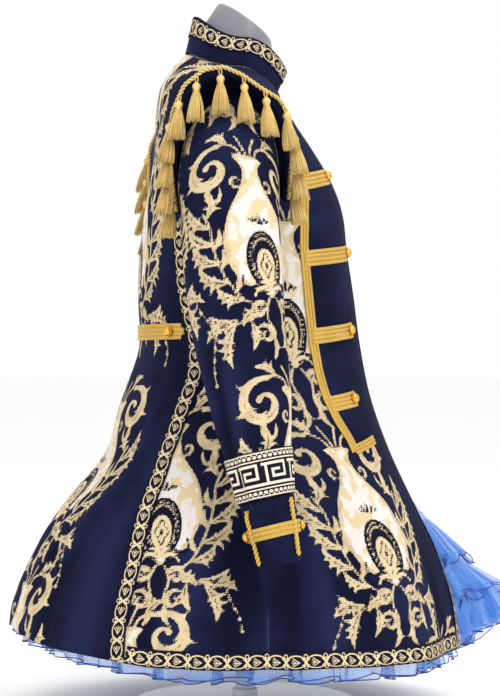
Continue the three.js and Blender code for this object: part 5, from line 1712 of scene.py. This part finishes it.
def make_cuff_braid(model, name, side, on_braid):
    """A cuff's strap, its two twisted uprights and its two buttons."""
    mesh = Mesh()
    on_cuff = lambda u, v, out=0.0: sleeve_point(side, u, v, out)
    angles = np.linspace(-STRAP["end"], STRAP["end"], 40)
    strap = Strip(on_cuff, np.stack([angles, 0 * angles + STRAP["ring"]], 1), 1.5)
    strap.plaits(mesh, STRAP["wide"], 3, LIFT + 0.4, LIFT + BRAID_THICK + 0.9)
    for angle, start, end in UPRIGHTS:
        rings = np.linspace(start, end, 20)
        upright = Strip(on_cuff, np.stack([0 * rings + angle, rings], 1), 1.2)
        for k in range(2):
            phase = 2 * np.pi * (upright.s / TWIST + k / 2)
            high = LIFT + CUFF_TWIST["strand"] + CUFF_TWIST["lift"] * np.cos(phase)
            tube(mesh, upright.at(CUFF_TWIST["sway"] * np.sin(phase), high), CUFF_TWIST["strand"], 7)
    mesh.piece(f"cuff_plaits_{name}", finish("braid"), "gold_braid", [f"cuff_braid_{name}"])
    for place, way in (("back", 1), ("front", -1)):
        angle = way * (STRAP["end"] - STRAP["button_in"])
        point = on_cuff(angle, STRAP["ring"], on_braid)
        direction = unit(on_cuff(angle, STRAP["ring"], on_braid + 1) - point)
        button_copy(model, f"cuff_button_{name}_{place}", point, direction)


def make_collar():
    angles, up = collar_grid(0.05, 1, 25, 151, 0.5)
    rolled = 0.5 * np.exp(-(((up - 1) / 0.06) ** 2))
    outer = collar_point(angles, up, rolled)
    inner = collar_point(angles[::3, ::3], up[::3, ::3], -COLLAR_THICK)
    mesh = Mesh()
    shell(mesh, outer, inner, 3, np.stack([lengths(outer, 1), lengths(outer, 0)], -1))
    collar = mesh.piece("collar_velvet", finish("navy"), "velvet_navy", ["collar"])


# Tulle underskirt


# Waves round the hem that make the gathers uneven
DRIFT_WAVES = (5, 7, 9, 13, 17, 23, 29, 31, 37)
# Ring, mm inside the velvet and depth of the waves at a ruffle's top and hem
RUFFLE = (dict(ring=2.77, inset=4.2, wave=1.5), dict(ring=-0.36, inset=4.0, wave=15))
UNDER_RUFFLE = (dict(ring=2.77, inset=12.1, wave=1.5), dict(ring=-0.5, inset=19, wave=14))
# Flounces over the ruffle where the fronts part: ring at the top, ring at the hem, depth of the waves
FLOUNCES = ((2.6, 1.75, 11), (1.8, 0.95, 15), (1.05, 0.15, 16))
FLOUNCE_REACH = 0.085
YOKE_PLEATS = 72


def ruffle_rows(top, hem, waves, count, draws, rows=14, across=(0.0, 1.0), droop=0.035):
    """A ruffle's points: gathered small at its top and falling in deep, uneven waves to its hem."""
    share = across[0] + (across[1] - across[0]) * np.arange(count) / count
    phase = 2 * np.pi * waves * share
    sizes, starts = draws.random(len(DRIFT_WAVES)) * 0.9, draws.random(len(DRIFT_WAVES)) * 6.28
    drift = sum(a * np.sin(2 * np.pi * k * share + p) for a, k, p in zip(sizes, DRIFT_WAVES, starts))
    deep = 0.75 + 0.5 * np.sin(share * 2 * np.pi * 11 + 1.0) * np.sin(share * 2 * np.pi * 4 + 0.4)
    grid = []
    for t in np.linspace(0, 1, rows):
        ring, inset, wave = (top[key] + (hem[key] - top[key]) * t for key in ("ring", "inset", "wave"))
        curve = np.cos(phase + drift * (0.4 + 0.6 * t)) + 0.28 * np.cos(2.3 * phase + drift * 2) * t
        sway = 0.4 * t * np.sin(phase * 0.5 + drift) / waves
        at = ring + droop * t * np.sin(phase * 0.37 + 2 * drift)
        points = tulle_point(tulle_angle((share + sway) % 1.0, at), at, inset + wave * deep * (1 - curve) / 2)
        points[:, 2] += 2.2 * t * np.sin(phase * 0.5 + drift)
        grid.append(points)
    return np.array(grid)


def make_tulle():
    gathers = bpy.context.scene.jacket_sizes.gathers
    draws = np.random.default_rng(5)
    rings = np.linspace(5.4, 2.75, 30)
    share = np.linspace(0, 1, 241)[:-1]
    pleats = 0.8 * np.cos(share * 2 * np.pi * YOKE_PLEATS)
    yoke = []
    for ring in rings:
        inset = looked_up(YOKE_INSET, ring) + pleats * smoothstep(5.3, 4.6, ring)
        yoke.append(tulle_point(tulle_angle(share, ring), ring, inset))
    tulle_sheet("tulle_yoke_cloth", np.array(yoke), "tulle_yoke", edge=False)
    half = gathers // 2
    ruffles = (("tulle_ruffle", RUFFLE, half), ("tulle_under_ruffle", UNDER_RUFFLE, half - 8))
    for name, shape, waves in ruffles:
        grid = ruffle_rows(*shape, waves, gathers * 10, draws)
        tulle_sheet(f"{name}_cloth", grid, name)
    for k, (start, end, wave) in enumerate(FLOUNCES):
        top = dict(ring=start, inset=1.5, wave=1.5)
        hem = dict(ring=end, inset=2.5 - wave * 1.25, wave=wave)
        reach = (-FLOUNCE_REACH, FLOUNCE_REACH)
        grid = ruffle_rows(top, hem, gathers * 0.55, 280, draws, 10, reach, 0.11)
        tulle_sheet(f"tulle_flounce_{k + 1}", grid, "tulle_ruffle", round_form=False)


def tulle_sheet(name, grid, node, edge=True, round_form=True):
    """A single layer of tulle, with a rolled edge if edge is set. round_form joins its two ends."""
    closed = np.concatenate([grid, grid[:, :1]], axis=1) if round_form else grid
    rows, columns = closed.shape[:2]
    along, down = lengths(closed, 1), lengths(closed, 0)
    spots = np.stack(np.broadcast_arrays(along.mean(0)[None, :], down), -1).reshape(-1, 2)
    faces = grid_faces(rows, columns)[:, ::-1]
    face_places = [spots[i] for face in faces for i in face]
    kept = grid.shape[1]
    wrapped = [[int(i // columns * kept + i % columns % kept) for i in face] for face in faces]
    mesh = Mesh()
    mesh.add(grid, wrapped, face_places=face_places)
    cloth = mesh.piece(name, finish("tulle"), "blue_tulle", [node])
    goes_with = []
    if edge:
        hem = Mesh()
        tube(hem, closed[-1], 0.7, 4)
        goes_with = [hem.piece(f"{name}_edge", finish("tulle_edge"), "blue_tulle")]
    wide = float(along[:, -1].max() * MM)
    high = float(down[-1].mean() * MM)
    across = np.cross(closed[:-1, 1:] - closed[:-1, :-1], closed[1:, :-1] - closed[:-1, :-1])
    area = min(float(np.linalg.norm(across, axis=-1).sum() * MM * MM), wide * high)


# Dress form and stand


def make_form():
    turns = np.linspace(0, 360, 73)[:-1]
    rings = np.linspace(4.15, NECKLINE - 0.06, 60)
    torso = [body_point(turns, r, 0.0) - body_normal(turns, r) * looked_up(FORM_INSET, r) for r in rings]
    neck = [collar_point(turns, up, -COLLAR_THICK - inset) for up, inset in FORM_NECK]
    c, s = turned(turns)
    cap_y, cap_z = (np.where(c > 0, NECK_CAP[f"front_{k}"], NECK_CAP[f"back_{k}"]) for k in ("y", "z"))
    cap = stacked(
        NECK_CAP["side_x"] * s,
        NECK_CAP["side_y"] + (cap_y - NECK_CAP["side_y"]) * np.abs(c),
        NECK_CAP["side_z"] + (cap_z - NECK_CAP["side_z"]) * np.abs(c),
    )
    middle = cap.mean(0)
    below = [cap * t + neck[-1] * (1 - t) for t in (0.33, 0.66, 0.93)]
    # The cap's softened edge and its slightly raised flat
    top = [
        middle + (cap - middle) * share + (cap - neck[-1]).mean(0) * rise
        for share, rise in ((0.985, 0.012), (0.94, 0.03), (0.6, 0.03), (0.02, 0.03))
    ]
    lowest = min(point[2] for point in torso[0]) - FORM_FOOT["high"]
    radius = FORM_FOOT["radius"]
    edge = ((0.05, 0), (0.9, 0), (1.0, 2))
    foot = [stacked(radius * k * s, -radius * k * c, lowest + rise) for k, rise in edge]
    loop = np.array([*foot, *torso, *neck, *below, *top])
    count = len(turns)
    faces = [list(range(count)), [(len(loop) - 1) * count + j for j in range(count)][::-1]]
    for i in range(len(loop) - 1):
        for j in range(count):
            a, b = i * count + j, i * count + (j + 1) % count
            faces.append([a, a + count, b + count, b])
    mesh = Mesh()
    mesh.add(loop.reshape(-1, 3), [face[::-1] for face in faces])
    mesh.piece("form_torso", finish("form"), "form_grey", ["dress_form"])
    make_stand(lowest)


def cylinder(radius, low, high, vertices, soft, segments):
    """A standing cylinder with softened edges, in metres."""
    place = (0, 0, (low + high) / 2)
    bpy.ops.object.select_all(action="DESELECT")
    bpy.ops.mesh.primitive_cylinder_add(vertices=vertices, radius=radius, depth=high - low, location=place)
    made = bpy.context.object
    bpy.ops.object.transform_apply(location=True)
    bevel = made.modifiers.new("edge", "BEVEL")
    bevel.width, bevel.segments, bevel.limit_method = soft, segments, "ANGLE"
    bpy.ops.object.modifier_apply(modifier=bevel.name)
    return made


def enamelled(piece, name, node):
    select_only(piece)
    bpy.ops.object.shade_smooth_by_angle(angle=math.radians(40))
    piece.name = name
    dressed(piece, finish("enamel"), [node])


def make_stand(foot):
    """The post with its socket, up to the form's foot in mm, and the round base."""
    post = cylinder(POST["radius"], POST["foot"], (foot - 0.3) * MM, 48, POST["soft"], 3)
    socket = cylinder(SOCKET["radius"], SOCKET["low"], SOCKET["high"], 48, SOCKET["soft"], 3)
    select_only(post)
    socket.select_set(True)
    bpy.ops.object.join()
    enamelled(post, "post_enamel", "stand_post")
    enamelled(cylinder(BASE["radius"], 0, BASE["high"], 128, BASE["soft"], 4), "base_enamel", "stand_base")


def make_stage():
    scene = bpy.context.scene
    bpy.ops.object.select_all(action="DESELECT")
    bpy.ops.mesh.primitive_plane_add(size=60)
    floor = bpy.context.object
    floor.name = "floor"
    floor.data.materials.append(finish("floor"))
    scene.world = bpy.data.worlds.new("studio")
    scene.world.use_nodes = True
    background = scene.world.node_tree.nodes["Background"]
    background.inputs["Color"].default_value = (1, 1, 1, 1)
    background.inputs["Strength"].default_value = 1.0
    target = Vector(CAMERA["target"])
    for name, place, size, power in LAMPS:
        data = bpy.data.lights.new(name, "AREA")
        data.size, data.energy = size, power
        stand_at(data, Vector(place), target)
    turn = math.radians(CAMERA["turn"])
    data = bpy.data.cameras.new("camera")
    data.lens, data.sensor_width = CAMERA["lens"], CAMERA["sensor"]
    away = Vector((math.sin(turn), -math.cos(turn), 0)) * CAMERA["away"]
    scene.camera = stand_at(data, target + away, target)
    scene.view_settings.view_transform = "Standard"


def stand_at(data, place, target):
    """A lamp or camera at a place, aimed at the target."""
    made = bpy.data.objects.new(data.name, data)
    bpy.context.scene.collection.objects.link(made)
    made.location = place
    made.rotation_euler = (target - place).to_track_quat("-Z", "Y").to_euler()
    return made


# Operators, in the order in which main runs them


class OBJECT_OT_jacket_stage(bpy.types.Operator):
    """Makes the floor, the lamps and the camera"""

    bl_idname = "object.jacket_stage"
    bl_label = "Stage"

    def execute(self, context):
        make_stage()
        return {"FINISHED"}


class OBJECT_OT_jacket_form(bpy.types.Operator):
    """Makes the dress form with its neck, and the stand"""

    bl_idname = "object.jacket_form"
    bl_label = "Dress form and stand"

    def execute(self, context):
        make_form()
        return {"FINISHED"}


class OBJECT_OT_jacket_tulle(bpy.types.Operator):
    """Makes the sheer blue underskirt: a yoke and two gathered ruffles with rolled edges"""

    bl_idname = "object.jacket_tulle"
    bl_label = "Tulle underskirt"

    def execute(self, context):
        make_tulle()
        return {"FINISHED"}


class OBJECT_OT_jacket_panels(bpy.types.Operator):
    """Makes the velvet body: two fronts, two side panels and the back"""

    bl_idname = "object.jacket_panels"
    bl_label = "Velvet panels"

    def execute(self, context):
        make_panels()
        return {"FINISHED"}


class OBJECT_OT_jacket_sleeves(bpy.types.Operator):
    """Makes the sleeves, their key pattern bands and their plain cuffs"""

    bl_idname = "object.jacket_sleeves"
    bl_label = "Sleeves"

    def execute(self, context):
        make_sleeves()
        return {"FINISHED"}


class OBJECT_OT_jacket_collar(bpy.types.Operator):
    """Makes the plain velvet stand collar"""

    bl_idname = "object.jacket_collar"
    bl_label = "Collar"

    def execute(self, context):
        make_collar()
        return {"FINISHED"}


class OBJECT_OT_jacket_wings(bpy.types.Operator):
    """Makes the plain velvet wings over the shoulders"""

    bl_idname = "object.jacket_wings"
    bl_label = "Shoulder wings"

    def execute(self, context):
        make_wings()
        return {"FINISHED"}


class OBJECT_OT_jacket_trims(bpy.types.Operator):
    """Makes the chain trim along the fronts, the hem, the back seams and the collar"""

    bl_idname = "object.jacket_trims"
    bl_label = "Chain trim"

    def execute(self, context):
        make_trims()
        return {"FINISHED"}


class OBJECT_OT_jacket_braid(bpy.types.Operator):
    """Makes the bib's braid, the half belt and the cuff straps, and sews the buttons on"""

    bl_idname = "object.jacket_braid"
    bl_label = "Braid and buttons"

    def execute(self, context):
        make_braid()
        return {"FINISHED"}


class OBJECT_OT_jacket_tassels(bpy.types.Operator):
    """Makes the twisted cord along each wing's edge and its tassels"""

    bl_idname = "object.jacket_tassels"
    bl_label = "Cord and tassels"

    def execute(self, context):
        make_tassels()
        return {"FINISHED"}


class VIEW3D_PT_jacket(bpy.types.Panel):
    """Lists the jacket's pieces, sizes and colours"""

    bl_label = "Carnival jacket"
    bl_space_type = "VIEW_3D"
    bl_region_type = "UI"
    bl_category = "Jacket"

    def draw(self, context):
        for operator in OPERATORS:
            self.layout.operator(operator.bl_idname)
        for group in (context.scene.jacket_sizes, context.scene.jacket_colours):
            for key in group.bl_rna.properties.keys():
                if key not in ("rna_type", "name"):
                    self.layout.prop(group, key)


OPERATORS = (
    OBJECT_OT_jacket_stage,
    OBJECT_OT_jacket_form,
    OBJECT_OT_jacket_tulle,
    OBJECT_OT_jacket_panels,
    OBJECT_OT_jacket_sleeves,
    OBJECT_OT_jacket_collar,
    OBJECT_OT_jacket_wings,
    OBJECT_OT_jacket_trims,
    OBJECT_OT_jacket_braid,
    OBJECT_OT_jacket_tassels,
)
CLASSES = (JacketSizes, JacketColours, *OPERATORS, VIEW3D_PT_jacket)


def register():
    for cls in CLASSES:
        bpy.utils.register_class(cls)
    bpy.types.Scene.jacket_sizes = bpy.props.PointerProperty(type=JacketSizes)
    bpy.types.Scene.jacket_colours = bpy.props.PointerProperty(type=JacketColours)


def unregister():
    del bpy.types.Scene.jacket_sizes
    del bpy.types.Scene.jacket_colours
    for cls in reversed(CLASSES):
        bpy.utils.unregister_class(cls)


def main():
    register()
    for operator in OPERATORS:
        group, name = operator.bl_idname.split(".")
        getattr(getattr(bpy.ops, group), name)()


if __name__ == "__main__":
    main()
